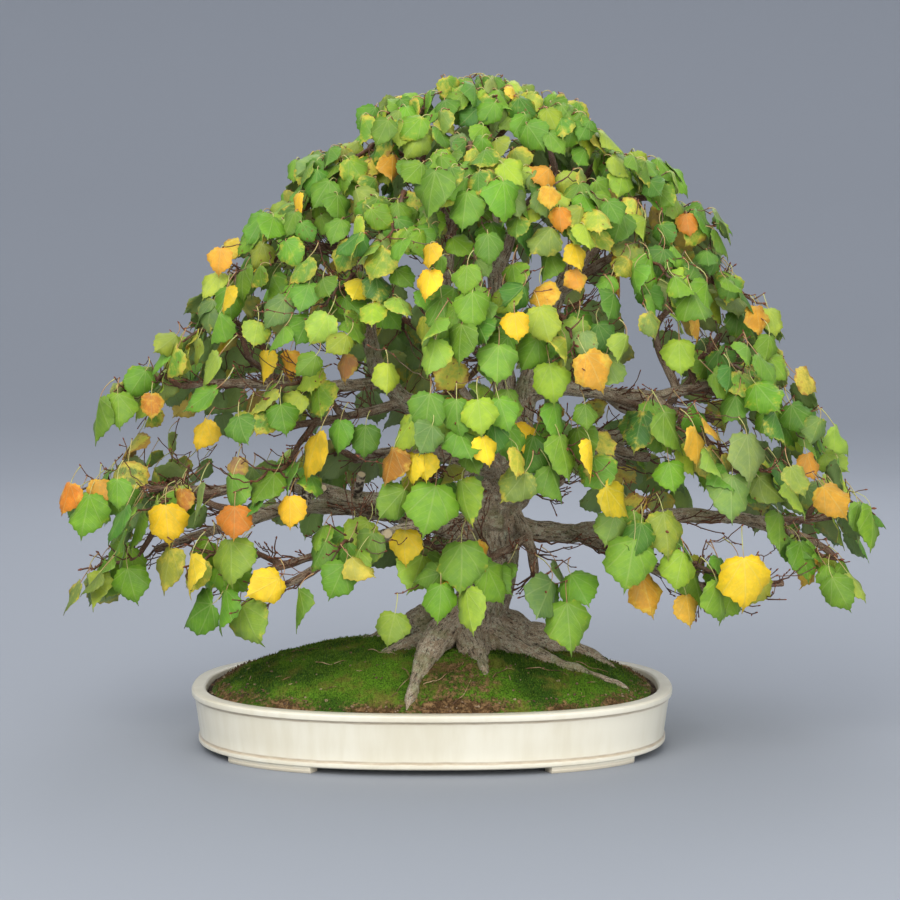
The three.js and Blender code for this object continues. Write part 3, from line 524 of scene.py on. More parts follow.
# %% Screens
SCREENS = ["drain_screen_left", "drain_screen_right"]
screen_plastic = Finish("screen_plastic", Roughness=0.6)
grain = screen_plastic.noise(screen_plastic.where(), 240, 3)
screen_plastic.paint("Base Color", screen_plastic.mix(srgb(38, 40, 38), srgb(66, 68, 62), grain.rise(0.4, 0.7)))
screen_plastic.bump(grain, 0.3, 0.0004)
for screen in SCREENS:
    bpy.data.objects[screen].material_slots[0].material = screen_plastic.material

# %% [markdown]
# ## The wood's routes
#
# A limb is a route: a few rows of x, y, z and radius, read off the tree as a grower would trace it with a
# finger. A smooth curve through the rows gives as many stations as we need. The trunk leans a little, divides
# at shoulder height, and its long lower limbs run nearly level.

# %% Routes
TRUNK = [
    (40, 0, 82, 50), (41, 0, 104, 46), (44, 0, 124, 36), (52, -2, 146, 29.5), (62, -2, 172, 25.5),
    (68, -2, 202, 23.5), (68, -2, 235, 23), (73, -2, 262, 23.5), (78, 0, 292, 19),
]
ROOTS = [
    [(26, -16, 136, 17), (6, -52, 116, 16), (-10, -100, 96, 9), (-22, -146, 70, 4)],
    [(40, -18, 124, 18), (42, -56, 106, 15), (58, -116, 80, 5)],
    [(56, 4, 130, 20), (96, 10, 111, 18), (144, 10, 98, 11), (196, 2, 72, 4)],
    [(62, -14, 118, 15), (112, -46, 96, 8), (192, -70, 74, 3.5)],
    [(26, 14, 124, 20), (-10, 26, 117, 19), (-60, 38, 100, 10), (-124, 48, 78, 4)],
    [(20, -6, 116, 15), (-34, -40, 102, 9), (-92, -76, 78, 4)],
    [(40, 22, 122, 18), (43, 70, 104, 11), (48, 130, 76, 4)],
    [(58, 16, 118, 16), (100, 58, 101, 9), (138, 100, 76, 4)],
]
LIMBS = {
    "stem_left": [(76, 0, 280, 15), (46, -5, 318, 13), (6, -8, 345, 11.5), (-30, -5, 362, 10),
                  (-57, 0, 392, 9), (-66, 0, 430, 8), (-69, 2, 468, 6.5), (-80, 5, 505, 5), (-95, 5, 535, 3.5)],
    "stem_middle": [(78, 0, 286, 17), (77, 4, 330, 15), (76, 5, 370, 13), (72, 5, 410, 11.5), (69, 2, 460, 9.5),
                    (68, -2, 505, 8), (64, -5, 560, 6), (60, -8, 610, 4.5), (57, -10, 645, 3.2)],
    "stem_middle_left": [(77, 3, 312, 11), (46, 8, 345, 10), (16, 8, 390, 9), (8, 4, 440, 8), (14, 0, 485, 7),
                         (18, -5, 530, 5.5), (5, -8, 575, 4), (-10, -10, 605, 3)],
    "stem_right": [(79, 0, 290, 14), (94, -4, 335, 12), (101, -5, 375, 10.5), (118, 0, 425, 9),
                   (134, 4, 475, 7.5), (150, 5, 525, 5.5), (165, 0, 565, 4)],
    "right_upper": [(100, -5, 368, 9.5), (135, -18, 376, 8.5), (180, -28, 370, 7.5), (226, -32, 368, 6.5),
                    (262, -34, 374, 5.5), (285, -40, 380, 4.5)],
    "right_upper_fork": [(180, -28, 370, 6), (200, -5, 354, 5.5), (228, 20, 347, 5), (262, 32, 347, 4.5),
                         (300, 36, 338, 3.8)],
    "right_mossy": [(82, 5, 282, 13), (120, 40, 305, 11), (160, 60, 318, 9.5), (203, 72, 316, 8),
                    (245, 80, 311, 6)],
    "right_mossy_fork": [(160, 60, 318, 7), (205, 66, 300, 6), (235, 62, 295, 5)],
    "right_long": [(72, 2, 232, 13), (99, 6, 224, 11.5), (175, 6, 222, 10), (262, 2, 238, 8), (330, -4, 236, 6.5),
                   (362, -8, 224, 5.5), (400, -12, 214, 4.5), (425, -12, 196, 3)],
    "right_long_fork": [(330, -4, 236, 5), (385, 8, 234, 4.5), (430, 10, 238, 3.8)],
    "right_low": [(150, 2, 222, 8), (190, -45, 208, 7), (235, -70, 192, 6), (282, -80, 174, 5),
                  (318, -85, 177, 4.2), (360, -80, 180, 3.5)],
    "left_long": [(70, -4, 262, 13), (30, -18, 265, 11.5), (-20, -28, 260, 10.5), (-68, -30, 258, 9.5),
                  (-120, -28, 270, 8.5), (-165, -25, 280, 7.5), (-210, -18, 270, 6.2), (-250, -10, 257, 5),
                  (-285, -6, 238, 4)],
    "left_long_fork": [(-210, -18, 270, 4.5), (-260, -4, 268, 4), (-300, 6, 268, 3.2)],
    "left_dark": [(66, 6, 222, 13), (28, 20, 221, 11.5), (-15, 34, 230, 10.5), (-62, 46, 239, 9.5),
                  (-110, 54, 243, 8.5), (-155, 58, 240, 7.5), (-200, 56, 229, 6), (-249, 46, 214, 5),
                  (-297, 30, 199, 4)],
    "left_low": [(60, -12, 236, 9), (20, -55, 240, 8), (-30, -78, 232, 7), (-72, -86, 226, 6.5),
                 (-104, -90, 214, 5.8), (-122, -94, 194, 5), (-160, -98, 176, 4), (-185, -96, 174, 3.2)],
    "left_low_fork": [(-104, -90, 214, 4.5), (-150, -92, 200, 4), (-185, -94, 186, 3.2)],
    "left_upper": [(-50, -2, 380, 7), (-95, -4, 377, 6.5), (-150, -2, 377, 5.5), (-225, 2, 379, 4.5),
                   (-262, 0, 376, 3.5)],
    "left_upper_fork": [(-30, -5, 360, 6), (-70, -30, 350, 5), (-110, -50, 344, 4.5), (-140, -60, 340, 3.5)],
    "front_low": [(73, -8, 276, 9), (58, -60, 292, 7.5), (40, -115, 300, 6.5), (25, -160, 300, 5.5),
                  (15, -185, 298, 4.5)],
    "front_upper": [(72, 0, 398, 7), (68, -50, 408, 6.2), (58, -110, 412, 5.2), (52, -160, 412, 4.2)],
    "front_right": [(84, -8, 268, 8), (108, -60, 276, 7), (126, -105, 285, 6), (130, -130, 292, 4.5)],
    "drooping": [(86, -8, 246, 7), (100, -38, 222, 6), (104, -75, 200, 5), (106, -100, 186, 4)],
    "drooping_fork": [(100, -38, 222, 5), (66, -90, 210, 4.5), (40, -120, 206, 3.8)],
    "back_middle": [(72, 14, 262, 10), (76, 80, 272, 8.5), (72, 150, 272, 7), (66, 215, 268, 5.5),
                    (60, 245, 268, 4.5)],
    "back_left": [(74, 6, 284, 9), (5, 85, 296, 7.5), (-50, 145, 292, 6), (-90, 195, 280, 4.5)],
    "back_right": [(92, 12, 290, 9), (140, 80, 300, 7.5), (185, 140, 292, 6), (215, 195, 276, 4.5)],
    "back_upper": [(72, 8, 402, 8), (70, 80, 404, 6.5), (62, 150, 398, 5), (60, 175, 398, 4.2)],
    "back_low": [(60, 14, 215, 7), (40, 70, 205, 6), (15, 130, 190, 5), (0, 165, 178, 4)],
}

# %% [markdown]
# ## Where the leafy sprays grow
#
# Every spray is a flat pad of leaves round a middle point, like a shingle on the crown's cone. Each row gives
# its name, that middle and its half width. Most middles are a pixel to the right, a pixel down and a guessed
# depth, also at the back, which the photograph doesn't show. The others are in millimetres: they were picked
# in the same way and then moved.

# %% Places read from the photograph


def seen_at(right, down, depth):
    """Where a pixel of the photograph lies at a depth, in millimetres from the pot's middle."""
    across = (right - VIEW_HALF_FRAME) / VIEW_FOCUS
    above = (VIEW_HALF_FRAME - down) / VIEW_FOCUS
    level, lift = math.cos(VIEW_ELEVATION), math.sin(VIEW_ELEVATION)
    away = VIEW_DISTANCE / MM
    share = (depth + away * level) / (level + above * lift)
    return VIEW_AIM_RIGHT + share * across, depth, VIEW_AIM_UP + away * lift + share * (above * level - lift)


def middle_seen(right, down, depth):
    """A spray's middle, to the nearest millimetre."""
    return tuple(round(value) for value in seen_at(right, down, depth))


# %% Sprays
SPRAYS = [
    ("top_middle", *middle_seen(487, 105, -20), 48), ("top_left", *middle_seen(410, 130, -60), 46),
    ("top_right", *middle_seen(560, 130, -50), 46), ("shoulder_left", *middle_seen(345, 170, -40), 48),
    ("shoulder_right", *middle_seen(635, 180, -30), 44), ("top_front", *middle_seen(470, 180, -150), 50),
    ("upper_left", *middle_seen(290, 225, -40), 48), ("upper_front_left", *middle_seen(395, 230, -150), 50),
    ("upper_front_right", *middle_seen(560, 215, -140), 50),
    ("upper_right", *middle_seen(690, 225, -20), 42), ("side_left_high", *middle_seen(240, 290, -20), 48),
    ("front_left_high", *middle_seen(335, 310, -120), 50),
    ("front_right_high", *middle_seen(660, 285, -110), 50), ("side_right_high", 322, 0, 456, 44),
    ("front_middle_high", *middle_seen(480, 330, -210), 50),
    ("front_right_middle", *middle_seen(570, 350, -170), 44),
    ("side_left_middle", *middle_seen(200, 350, -10), 46), ("side_left_tip", -312, 0, 358, 44),
    ("front_left_middle", *middle_seen(285, 405, -90), 46),
    ("side_right_middle", *middle_seen(735, 385, -60), 46), ("side_right_tip", 375, -20, 332, 46),
    ("front_middle", 24, -225, 354, 50), ("front_right_inner", *middle_seen(560, 455, -160), 46),
    ("front_right_outer", *middle_seen(670, 440, -120), 46),
    ("right_front_middle", *middle_seen(745, 480, -90), 46), ("low_right_tip", 440, 0, 235, 40),
    ("low_right_front", 398, -40, 188, 44), ("low_front_right", *middle_seen(650, 540, -130), 46),
    ("low_front_right_outer", *middle_seen(720, 590, -110), 44), ("low_left_tip", -350, 0, 256, 42),
    ("low_left_middle", *middle_seen(165, 520, -50), 46), ("low_left_under", -342, -10, 173, 44),
    ("low_left_front", *middle_seen(210, 575, -90), 48),
    ("left_front_middle", *middle_seen(270, 490, -110), 44),
    ("low_front_left", *middle_seen(345, 560, -130), 40),
    ("low_front_middle", *middle_seen(450, 575, -150), 44), ("low_front_drooping", 109, -128, 169, 38),
    ("front_lower_left", *middle_seen(430, 500, -190), 46), ("top_back_left", -35, 100, 604, 50),
    ("top_back_right", 138, 100, 604, 50), ("back_left_high", *middle_seen(300, 260, 150), 52),
    ("back_middle_high", 53, 200, 528, 54), ("back_right_high", *middle_seen(650, 250, 150), 52),
    ("back_left_middle", -236, 140, 393, 52), ("back_left_inner", -39, 240, 402, 54),
    ("back_right_inner", 157, 240, 402, 54), ("back_right_middle", 341, 140, 393, 52),
    ("back_left_low", *middle_seen(150, 500, 120), 50), ("back_left_lower", -119, 230, 264, 54),
    ("back_middle_low", 54, 270, 283, 54), ("back_right_lower", 238, 230, 264, 54),
    ("back_right_low", 395, 120, 243, 50), ("back_low", -15, 190, 165, 50),
]
CROWN_CENTRE = Vector((45, 5, 190))
CROWN_REACH = Vector((430, 290, 490))
TWIG_RADIUS = 3
TWIG_LIFT = 20
TWIG_BACK = 0.75
TWIG_OUT = 0.62
TWIG_DROP = 6


class Spray:
    """The frame of a spray: its middle, its own directions and the line of its main twig."""

    def __init__(self, index, name, x, y, z, width):
        self.index, self.name, self.width = index, name, width
        self.middle = Vector((x, y, z))
        outward = Vector((self.middle - CROWN_CENTRE)[i] / CROWN_REACH[i] ** 2 for i in range(3)).normalized()
        flat = Vector((outward.x, outward.y, 0))
        if flat.length < 0.2:
            flat = Vector((0.3, -1, 0))
        self.flat_out = flat.normalized()
        lean = 0.25 + 0.5 * min(1, max(0, (z - 250) / 350))
        self.normal = (UP * (1 - lean) + outward * lean).normalized()
        self.along = (self.flat_out - self.normal * self.flat_out.dot(self.normal)).normalized()
        self.side = self.normal.cross(self.along)
        self.lifted = self.middle + UP * TWIG_LIFT
        self.start = self.lifted - self.along * TWIG_BACK * width - self.normal * TWIG_DROP
        self.end = self.lifted + self.along * TWIG_OUT * width
        self.toward = (self.lifted - self.start).normalized()


sprays = [Spray(index, *row) for index, row in enumerate(SPRAYS)]
print("sprays:", len(sprays))

# %% [markdown]
# ## From routes to stations
#
# `smooth_route` draws a curve through the rows of a route. `side_branch` then finds, for each spray, the spot on
# the wood from which a branch would reach its twig with the least turning, just as the tree would have grown.

# %% Stations


def smooth_route(rows, steps):
    """Stations on a smooth curve through the rows of a route, each a place and a radius."""
    points = [Vector(row[:3]) for row in rows]
    points = [2 * points[0] - points[1], *points, 2 * points[-1] - points[-2]]
    stations = []
    for i in range((len(rows) - 1) * steps + 1):
        low = min(len(rows) - 2, i // steps)
        f = i / steps - low
        a, b, c, d = points[low:low + 4]
        spot = (2 * b + (c - a) * f + (2 * a - 5 * b + 4 * c - d) * f ** 2 + (3 * b - a - 3 * c + d) * f ** 3) / 2
        stations.append((spot, mean(rows[low][3], rows[low + 1][3], f)))
    return stations


def wood_stations():
    """Stations along the trunk and limbs with the way that the wood grows there."""
    found = []
    for rows in [TRUNK, *LIMBS.values()]:
        stations = smooth_route(rows, 4)
        for (before, _), (spot, radius) in zip(stations, stations[1:]):
            found.append((spot, radius, (spot - before).normalized()))
    return found


TURN_COST = 1.7
BEND_AT = 0.45
BEND_ALONG = 0.12
BEND_SAG = 0.04
LAST_STRETCH = 0.3


def side_branch(spray, stations):
    """Three rows from the best spot on the wood to the start of a spray's twig."""
    def cost(station):
        gap = spray.start - station[0]
        return gap.length * (TURN_COST - station[2].dot(gap.normalized()))

    spot, radius, way = min(stations, key=cost)
    reach = (spray.start - spot).length
    bend = spot.lerp(spray.start, BEND_AT) + way * BEND_ALONG * reach - UP * BEND_SAG * reach
    ahead = (bend - spray.start).dot(spray.toward) + LAST_STRETCH * reach
    if ahead > 0:
        bend -= spray.toward * ahead
    thick = min(0.72 * radius, TWIG_RADIUS + 0.02 * reach + 0.5)
    return [(*spot, thick), (*bend, (thick + TWIG_RADIUS) / 2), (*spray.start, TWIG_RADIUS)]


stations = wood_stations()
branches = [side_branch(spray, stations) for spray in sprays]
print("stations:", len(stations), "side branches:", len(branches))

# %% [markdown]
# ## Growing the old wood
#
# Real limbs are never smooth pipes: they wander, swell at old pruning points and join in thick collars. Each
# limb is a ring of points extruded along its stations. Then one voxel remesh grows them all together, which
# fills the crotches, and the bark's ridges are raised along the grain.
#
# `noise_vector` takes its offsets from the clock unless `noise.seed_set` is called, and it isn't called here.
# So the limbs wander by a few millimetres from run to run, and the bare shoots on them differ with them.

# %% Limbs
WOOD_STEP = 6
ROOT_DIVE = (14, -13, 1.5)


def wandering(stations, amount):
    """The same stations, moved and swollen by smooth noise, without moving the two ends."""
    moved = []
    for i, (spot, radius) in enumerate(stations):
        hold = min(1, 3 * i / len(stations), 3 * (len(stations) - 1 - i) / len(stations))
        drift = noise.noise_vector(spot * 0.035) * amount * radius * hold
        knot = 1 + 0.16 * noise.noise(spot * 0.09 + Vector((7, 3, 1)))
        moved.append((spot + drift, radius * knot))
    return moved


def dive(rows):
    """A root's rows with one more that takes its end under the moss."""
    ahead, drop, radius = ROOT_DIVE
    end = Vector(rows[-1][:3])
    way = end - Vector(rows[-2][:3])
    way.z = 0
    return [*rows, (*(end + way.normalized() * ahead + UP * drop), radius)]


def by_length(rows):
    """How many steps keep a route's stations about WOOD_STEP apart."""
    spans = [(Vector(b[:3]) - Vector(a[:3])).length for a, b in zip(rows, rows[1:])]
    return max(2, round(max(spans) / WOOD_STEP))


def round_form(angle, spot):
    return 1


def foot_form(angle, spot):
    """The swelling ridges of the trunk's foot, which run on into the roots."""
    share = min(1, max(0, (160 - spot.z) / 60))
    ridges = 0.1 * math.cos(3 * angle + 0.6) + 0.06 * math.cos(5 * angle) + 0.035 * math.cos(11 * angle + 1)
    return 1 + share * ridges + 0.03 * math.cos(7 * angle + spot.z / 40)


def add_limb(bm, stations, sides, form=round_form):
    """A closed limb: a ring of points extruded from station to station."""
    frames = []
    across = None
    for i, (spot, radius) in enumerate(stations):
        along = stations[min(i + 1, len(stations) - 1)][0] - stations[max(i - 1, 0)][0]
        along.normalize()
        if across is None:
            across = Vector((1, 0, 0)) if abs(along.z) > 0.9 else UP
        across = (across - along * across.dot(along)).normalized()
        frames.append((spot, radius, across, along.cross(across)))

    def ring(i):
        spot, radius, first, second = frames[i]

        def move(angle):
            reach = radius * form(angle, spot)
            return place(*(spot + first * reach * math.cos(angle) + second * reach * math.sin(angle)))
        return move

    loop = Loop(bm, sides, ring(0))
    loop.fill()
    for i in range(1, len(stations)):
        loop.extrude(ring(i))
    loop.fill()


KNOTS = [
    (-9, 4, 124, 21), (-30, 20, 116, 15), (14, -30, 118, 15), (84, -4, 118, 20), (112, 12, 108, 17),
    (66, -20, 236, 11), (88, 2, 262, 17), (60, 8, 250, 15), (38, -34, 104, 15), (60, -14, 108, 18),
    (126, 6, 102, 13), (96, -22, 100, 11),
]


def make_old_wood():
    bm = bmesh.new()
    add_limb(bm, smooth_route(TRUNK, 5), 40, foot_form)
    for rows in map(dive, ROOTS):
        add_limb(bm, wandering(smooth_route(rows, by_length(rows)), 0.5), 14)
    for rows in LIMBS.values():
        add_limb(bm, wandering(smooth_route(rows, by_length(rows)), 0.45), 12)
    for x, y, z, radius in KNOTS:
        made = bmesh.ops.create_icosphere(bm, subdivisions=3, radius=radius * MM)["verts"]
        for v in made:
            v.co *= 1 + 0.2 * noise.noise(v.co * 90)
            v.co += place(x, y, z)
    bmesh.ops.recalc_face_normals(bm, faces=bm.faces)
    return as_mesh("old_wood", bm)


VOXEL = 1.7 * MM
ROOT_LEVEL = 135
wood_mesh = settled(make_old_wood(), ("REMESH", {"mode": "VOXEL", "voxel_size": VOXEL}),
                    ("SMOOTH", {"factor": 0.5, "iterations": 2}))
print("wood after the remesh:", len(wood_mesh.vertices), "points")

# %% [markdown]
# ### Following the grain
#
# Bark splits along the limb. To know which way that is, every point of the wood looks up the nearest station
# and stores its own coordinates there: two across the limb and one along it. Noise that is stretched along the
# third one gives fissures that run with the wood, whichever way it points.

# %% Grain


class Grain:
    """Finds a point's coordinates in the nearest limb."""

    def __init__(self, routes):
        self.rows = []
        offset = 0
        for stations in routes:
            length = offset
            across = None
            for (spot, radius), (following, _) in zip(stations, stations[1:]):
                along = (following - spot).normalized()
                if across is None:
                    across = Vector((1, 0, 0)) if abs(along.z) > 0.9 else UP
                across = (across - along * across.dot(along)).normalized()
                self.rows.append((spot, radius, along, across, along.cross(across), length))
                length += (following - spot).length
            offset += 1000
        self.tree = kdtree.KDTree(len(self.rows))
        for i, row in enumerate(self.rows):
            self.tree.insert(row[0], i)
        self.tree.balance()

    def at(self, spot):
        """Across, across and along in millimetres, and the limb's radius there."""
        found = self.tree.find_n(spot, 6)
        _, i, _ = min(found, key=lambda hit: hit[2] - self.rows[hit[1]][1])
        middle, radius, along, first, second, length = self.rows[i]
        gap = spot - middle
        return gap.dot(first), gap.dot(second), length + gap.dot(along), radius


def grain_routes():
    routes = [smooth_route(rows, by_length(rows)) for rows in [TRUNK, *map(dive, ROOTS), *LIMBS.values()]]
    return routes


grain_of = Grain(grain_routes())


def grain_rows(mesh):
    """The grain coordinates and radius of every point of a mesh."""
    places = (vertices(mesh) - np.array(POT_MIDDLE)) / MM
    return np.array([grain_of.at(Vector(spot)) for spot in places])


def raise_bark(mesh):
    """Moves each point out or in by the plates and fissures of the bark."""
    rows = grain_rows(mesh)
    normals = np.empty(len(mesh.vertices) * 3)
    mesh.vertices.foreach_get("normal", normals)
    heights = []
    lows = np.clip((ROOT_LEVEL - vertices(mesh)[:, 2] / MM) / 30, 0, 1)
    for (first, second, along, radius), low in zip(rows, lows):
        plates = noise.noise(Vector((first, second, along * 0.28)) * 0.17)
        ridges = 1 - abs(noise.noise(Vector((first, second, along * 0.16)) * 0.33 + Vector((31, 7, 0)))) * 2
        fine = noise.noise(Vector((first, second, along * 0.4)) * 0.6)
        depth = min(1.5, 0.35 + radius * 0.05)
        gnarl = 3.2 * noise.noise(Vector((first, second, along * 0.6)) * 0.085) * low
        heights.append(gnarl + depth * (0.75 * plates + 0.7 * (ridges - 0.55) + 0.35 * fine))
    moved = vertices(mesh) + normals.reshape(-1, 3) * np.array(heights)[:, None] * MM
    mesh.vertices.foreach_set("co", moved.ravel())
    mesh.update()


raise_bark(wood_mesh)
wood_mesh = settled(wood_mesh, ("DECIMATE", {"ratio": 0.52}))
rows = grain_rows(wood_mesh)
store(wood_mesh, "grain", "FLOAT_VECTOR", rows[:, :3])
near_ground = vertices(wood_mesh)[:, 2] < ROOT_LEVEL * MM
store(wood_mesh, "girth", "FLOAT", np.where(near_ground, np.maximum(rows[:, 3], 10), rows[:, 3]))
print("wood:", len(wood_mesh.polygons), "faces")

# %% [markdown]
# ### Bark
#
# Old linden bark is a grey-brown skin of long plates with dark splits between them, and pale lichen sits on it in
# flecks. Young wood is smoother and redder, so the finish mixes two barks by the limb's girth.

# %% Bark
BARK_DARK = srgb(66, 53, 42)
BARK_BROWN = srgb(160, 136, 110)
BARK_GREY = srgb(206, 192, 168)
BARK_RED = srgb(100, 70, 54)
BARK_RED_PALE = srgb(146, 112, 88)
LICHEN = srgb(206, 206, 178)
LICHEN_GREEN = srgb(136, 144, 88)


def make_bark(name):
    bark = Finish(name, Roughness=0.85, Specular_IOR_Level=0.3)
    grain = bark.stored("grain", "Vector")
    girth = bark.stored("girth")
    splits = bark.noise(bark.scaled(grain, 0.5, 0.5, 0.08), 1.0, 5, 0.62)
    plates = bark.noise(bark.scaled(grain, 0.14, 0.14, 0.06), 1.3, 4)
    fine = bark.noise(bark.scaled(grain, 1.1, 1.1, 0.5), 1.2, 4, 0.7)
    old = bark.mix(BARK_BROWN, BARK_GREY, (plates * 0.4 + fine * 0.7).rise(0.46, 0.66))
    old = bark.mix(BARK_DARK, old, (splits * 0.75 + fine * 0.25).rise(0.36, 0.53))
    young = bark.mix(BARK_RED, BARK_RED_PALE, fine.rise(0.42, 0.66))
    skin = bark.mix(young, old, (girth + plates * 3).rise(4, 8))
    spot = bark.where()
    flecks = bark.noise(spot, 230, 4, 0.7).rise(0.55, 0.62) * girth.rise(3.5, 9)
    skin = bark.mix(skin, LICHEN, flecks * 0.75)
    damp = bark.noise(spot, 30, 4, 0.6).rise(0.52, 0.66) * girth.rise(5, 9)
    skin = bark.mix(skin, LICHEN_GREEN, damp * 0.4)
    bark.paint("Base Color", skin)
    bark.paint("Roughness", 0.7 + splits * 0.3)
    bark.bump(splits * 0.8 + fine * 0.6 + flecks * 0.15, 0.9, 0.002)
    return bark


old_bark = make_bark("old_bark")
keep("trunk_and_limbs", wood_mesh, old_bark, "bark", "wood")

# %% [markdown]
# ## The leaf
#
# A linden leaf is a heart with a toothed rim, a deep notch at its stalk and a long drip tip. We press one from
# a disc: its rim is pushed out to the outline of the heart, and a few straight cuts give it the folds that it
# will bend along. Solidify then gives the blade its two faces.

# %% Leaf template
HEART = [(0, 0), (-0.032, 0.05), (-0.062, 0.12), (-0.06, 0.22), (-0.015, 0.33), (0.07, 0.42), (0.18, 0.482),
         (0.32, 0.51), (0.46, 0.492), (0.59, 0.43), (0.71, 0.335), (0.805, 0.225), (0.875, 0.12), (0.93, 0.045),
         (1.06, 0)]
RIM_POINTS = 38
TOOTH = 0.019
CUTS_ALONG = [0.12, 0.4, 0.68]
CUTS_ACROSS = [-0.26, 0, 0.26]
BLADE_THICKNESS = 0.014


def heart_at(share):
    """A point of the heart's outline, 0 at the notch, 0.5 at the tip and 1 at the notch again."""
    half = 2 * share if share <= 0.5 else 2 * (1 - share)
    at = half * (len(HEART) - 1)
    low = min(int(at), len(HEART) - 2)
    u = mean(HEART[low][0], HEART[low + 1][0], at - low)
    v = mean(HEART[low][1], HEART[low + 1][1], at - low)
    return u, v if share <= 0.5 else -v


def make_blade():
    """One flat leaf, a unit long, with its length along X and its width along Y."""
    bm = bmesh.new()
    rim = bmesh.ops.create_circle(bm, segments=RIM_POINTS, radius=1, cap_ends=True)["verts"]
    for i, v in enumerate(rim):
        u, w = heart_at(i / RIM_POINTS)
        pull = 1 + (TOOTH if i % 2 else -TOOTH) * 2 * (0 if i in (0, RIM_POINTS // 2) else 1)
        v.co = (mean(0.35, u, pull), w * pull, 0)
    cuts = [((u, 0, 0), (1, 0, 0)) for u in CUTS_ALONG] + [((0, v, 0), (0, 1, 0)) for v in CUTS_ACROSS]
    for spot, way in cuts:
        bmesh.ops.bisect_plane(bm, geom=bm.verts[:] + bm.edges[:] + bm.faces[:], plane_co=spot, plane_no=way,
                               dist=0.004)
    bmesh.ops.remove_doubles(bm, verts=bm.verts, dist=0.012)
    bmesh.ops.triangulate(bm, faces=bm.faces)
    border = {v for e in bm.edges if e.is_boundary for v in e.verts}
    bmesh.ops.recalc_face_normals(bm, faces=bm.faces)
    if sum(f.normal.z for f in bm.faces) < 0:
        bmesh.ops.reverse_faces(bm, faces=bm.faces)
    rims = {tuple(round(c, 4) for c in v.co.xy) for v in border}
    bmesh.ops.solidify(bm, geom=bm.faces[:], thickness=BLADE_THICKNESS)
    heights = [v.co.z for v in bm.verts]
    middle = (min(heights) + max(heights)) / 2
    edge = [1.0 if tuple(round(c, 4) for c in v.co.xy) in rims else 0.0 for v in bm.verts]
    under = [1.0 if v.co.z < middle else 0.0 for v in bm.verts]
    for v in bm.verts:
        v.co.z -= middle
    bmesh.ops.triangulate(bm, faces=bm.faces)
    return as_mesh("blade", bm), np.array(edge), np.array(under)


blade, blade_edge, blade_under = make_blade()
blade_shape = vertices(blade)
print("blade:", len(blade.vertices), "points,", len(blade.polygons), "faces")

# %% [markdown]
# ## Every leaf's place
#
# The leaves of a spray are spread by the golden angle, as sunflower seeds are, so that none hides another. They
# hang from their notch, tip down, and face out of the crown. Leaves that show one by one at the front are
# listed one by one, each with its own colour.

# %% Leaves of a spray
GOLDEN_ANGLE = math.pi * (3 - math.sqrt(5))
SPACING_TOP = 64
SPACING_LOW = 175
LEVEL_TOP = 590
LEVEL_LOW = 400
LEAF_LIFT = 15
PLACE_SPREAD = 5
RISE_SPREAD = 14
LEAF_SHORTEST = 29
LEAF_RANGE = 13
LEAN_SPREAD = 42
TURN_SPREAD = 54
TILT_LEAST = 8
TILT_RANGE = 46
FRONT_TILT = 18
FRONT_FOLD = 0.45
BOX_MARGIN = Vector((5, 4, 6))
CROWN_BOX = [(Vector(cad_bounds[0]) - POT_MIDDLE) / MM - BOX_MARGIN,
             (Vector(cad_bounds[1]) - POT_MIDDLE) / MM + BOX_MARGIN]


class Draws:
    """A small generator of draws, the same each time for a spray."""

    def __init__(self, seed):
        self.state = seed * 7919 % 2147483647
        for _ in range(5):
            self.next()

    def next(self):
        self.state = self.state * 16807 % 2147483647
        return self.state / 2147483647

    def around(self, spread):
        return spread * (2 * self.next() - 1)


class Leaf:
    """A leaf's base, its length, its three turns in degrees and the way its blade is bent."""

    def __init__(self, base, length, lean, turn, tilt, fold, wave, color=None):
        self.base, self.length, self.fold, self.wave, self.color = Vector(base), length, fold, wave, color
        lean, turn, tilt = math.radians(lean), math.radians(turn), math.radians(tilt)
        across = Vector((math.cos(turn), math.sin(turn), 0))
        self.face = Vector((math.sin(turn), -math.cos(turn), 0))
        hang = across * math.sin(lean) - UP * math.cos(lean)
        self.tip = hang * math.cos(tilt) + self.face * math.sin(tilt)
        self.out = self.face * math.cos(tilt) - hang * math.sin(tilt)
        self.across = -self.out.cross(self.tip)


def spray_leaves(spray):
    draws = Draws(spray.index + 1)
    height = min(1, max(0, (spray.middle.z - LEVEL_LOW) / (LEVEL_TOP - LEVEL_LOW)))
    count = round(spray.width ** 2 / mean(SPACING_LOW, SPACING_TOP, height))
    leaves = []
    for k in range(count):
        reach = math.sqrt((k + 0.5) / count) * spray.width
        angle = k * GOLDEN_ANGLE + spray.index
        away = reach * math.cos(angle) + draws.around(PLACE_SPREAD)
        aside = reach * math.sin(angle) + draws.around(PLACE_SPREAD)
        rise = draws.around(RISE_SPREAD)
        base = spray.middle + UP * LEAF_LIFT + spray.along * away + spray.side * aside + spray.normal * rise
        facing = spray.flat_out + spray.side * 0.7 * aside / spray.width - Vector((0, 0.45, 0))
        length = (LEAF_SHORTEST + LEAF_RANGE * draws.next()) * mean(1, 0.8, height)
        lean = draws.around(LEAN_SPREAD)
        turn = math.degrees(math.atan2(facing.x, -facing.y)) + draws.around(TURN_SPREAD)
        tilt = TILT_LEAST + TILT_RANGE * draws.next()
        leaves.append(Leaf(base, length, lean, turn, tilt, draws.next(), draws.around(1)))
        draws.next()
    return leaves


# %% Leaves between the sprays
FILL_TRIES = 2600
FILL_GAP = 25
FILL_REACH = 74
FILL_TOP = 688
FILL_FOOT = 215
FILL_INSET = 24
FULL_FROM = 500
SPARSE_TO = 330
SPARSE_SHARE = 0.3
SPARSE_SHARE_BEHIND = 0.75
CROWN_EDGE = Vector((425, 288, 0))


def heart_middle(leaf):
    return leaf.base + leaf.tip * 0.4 * leaf.length


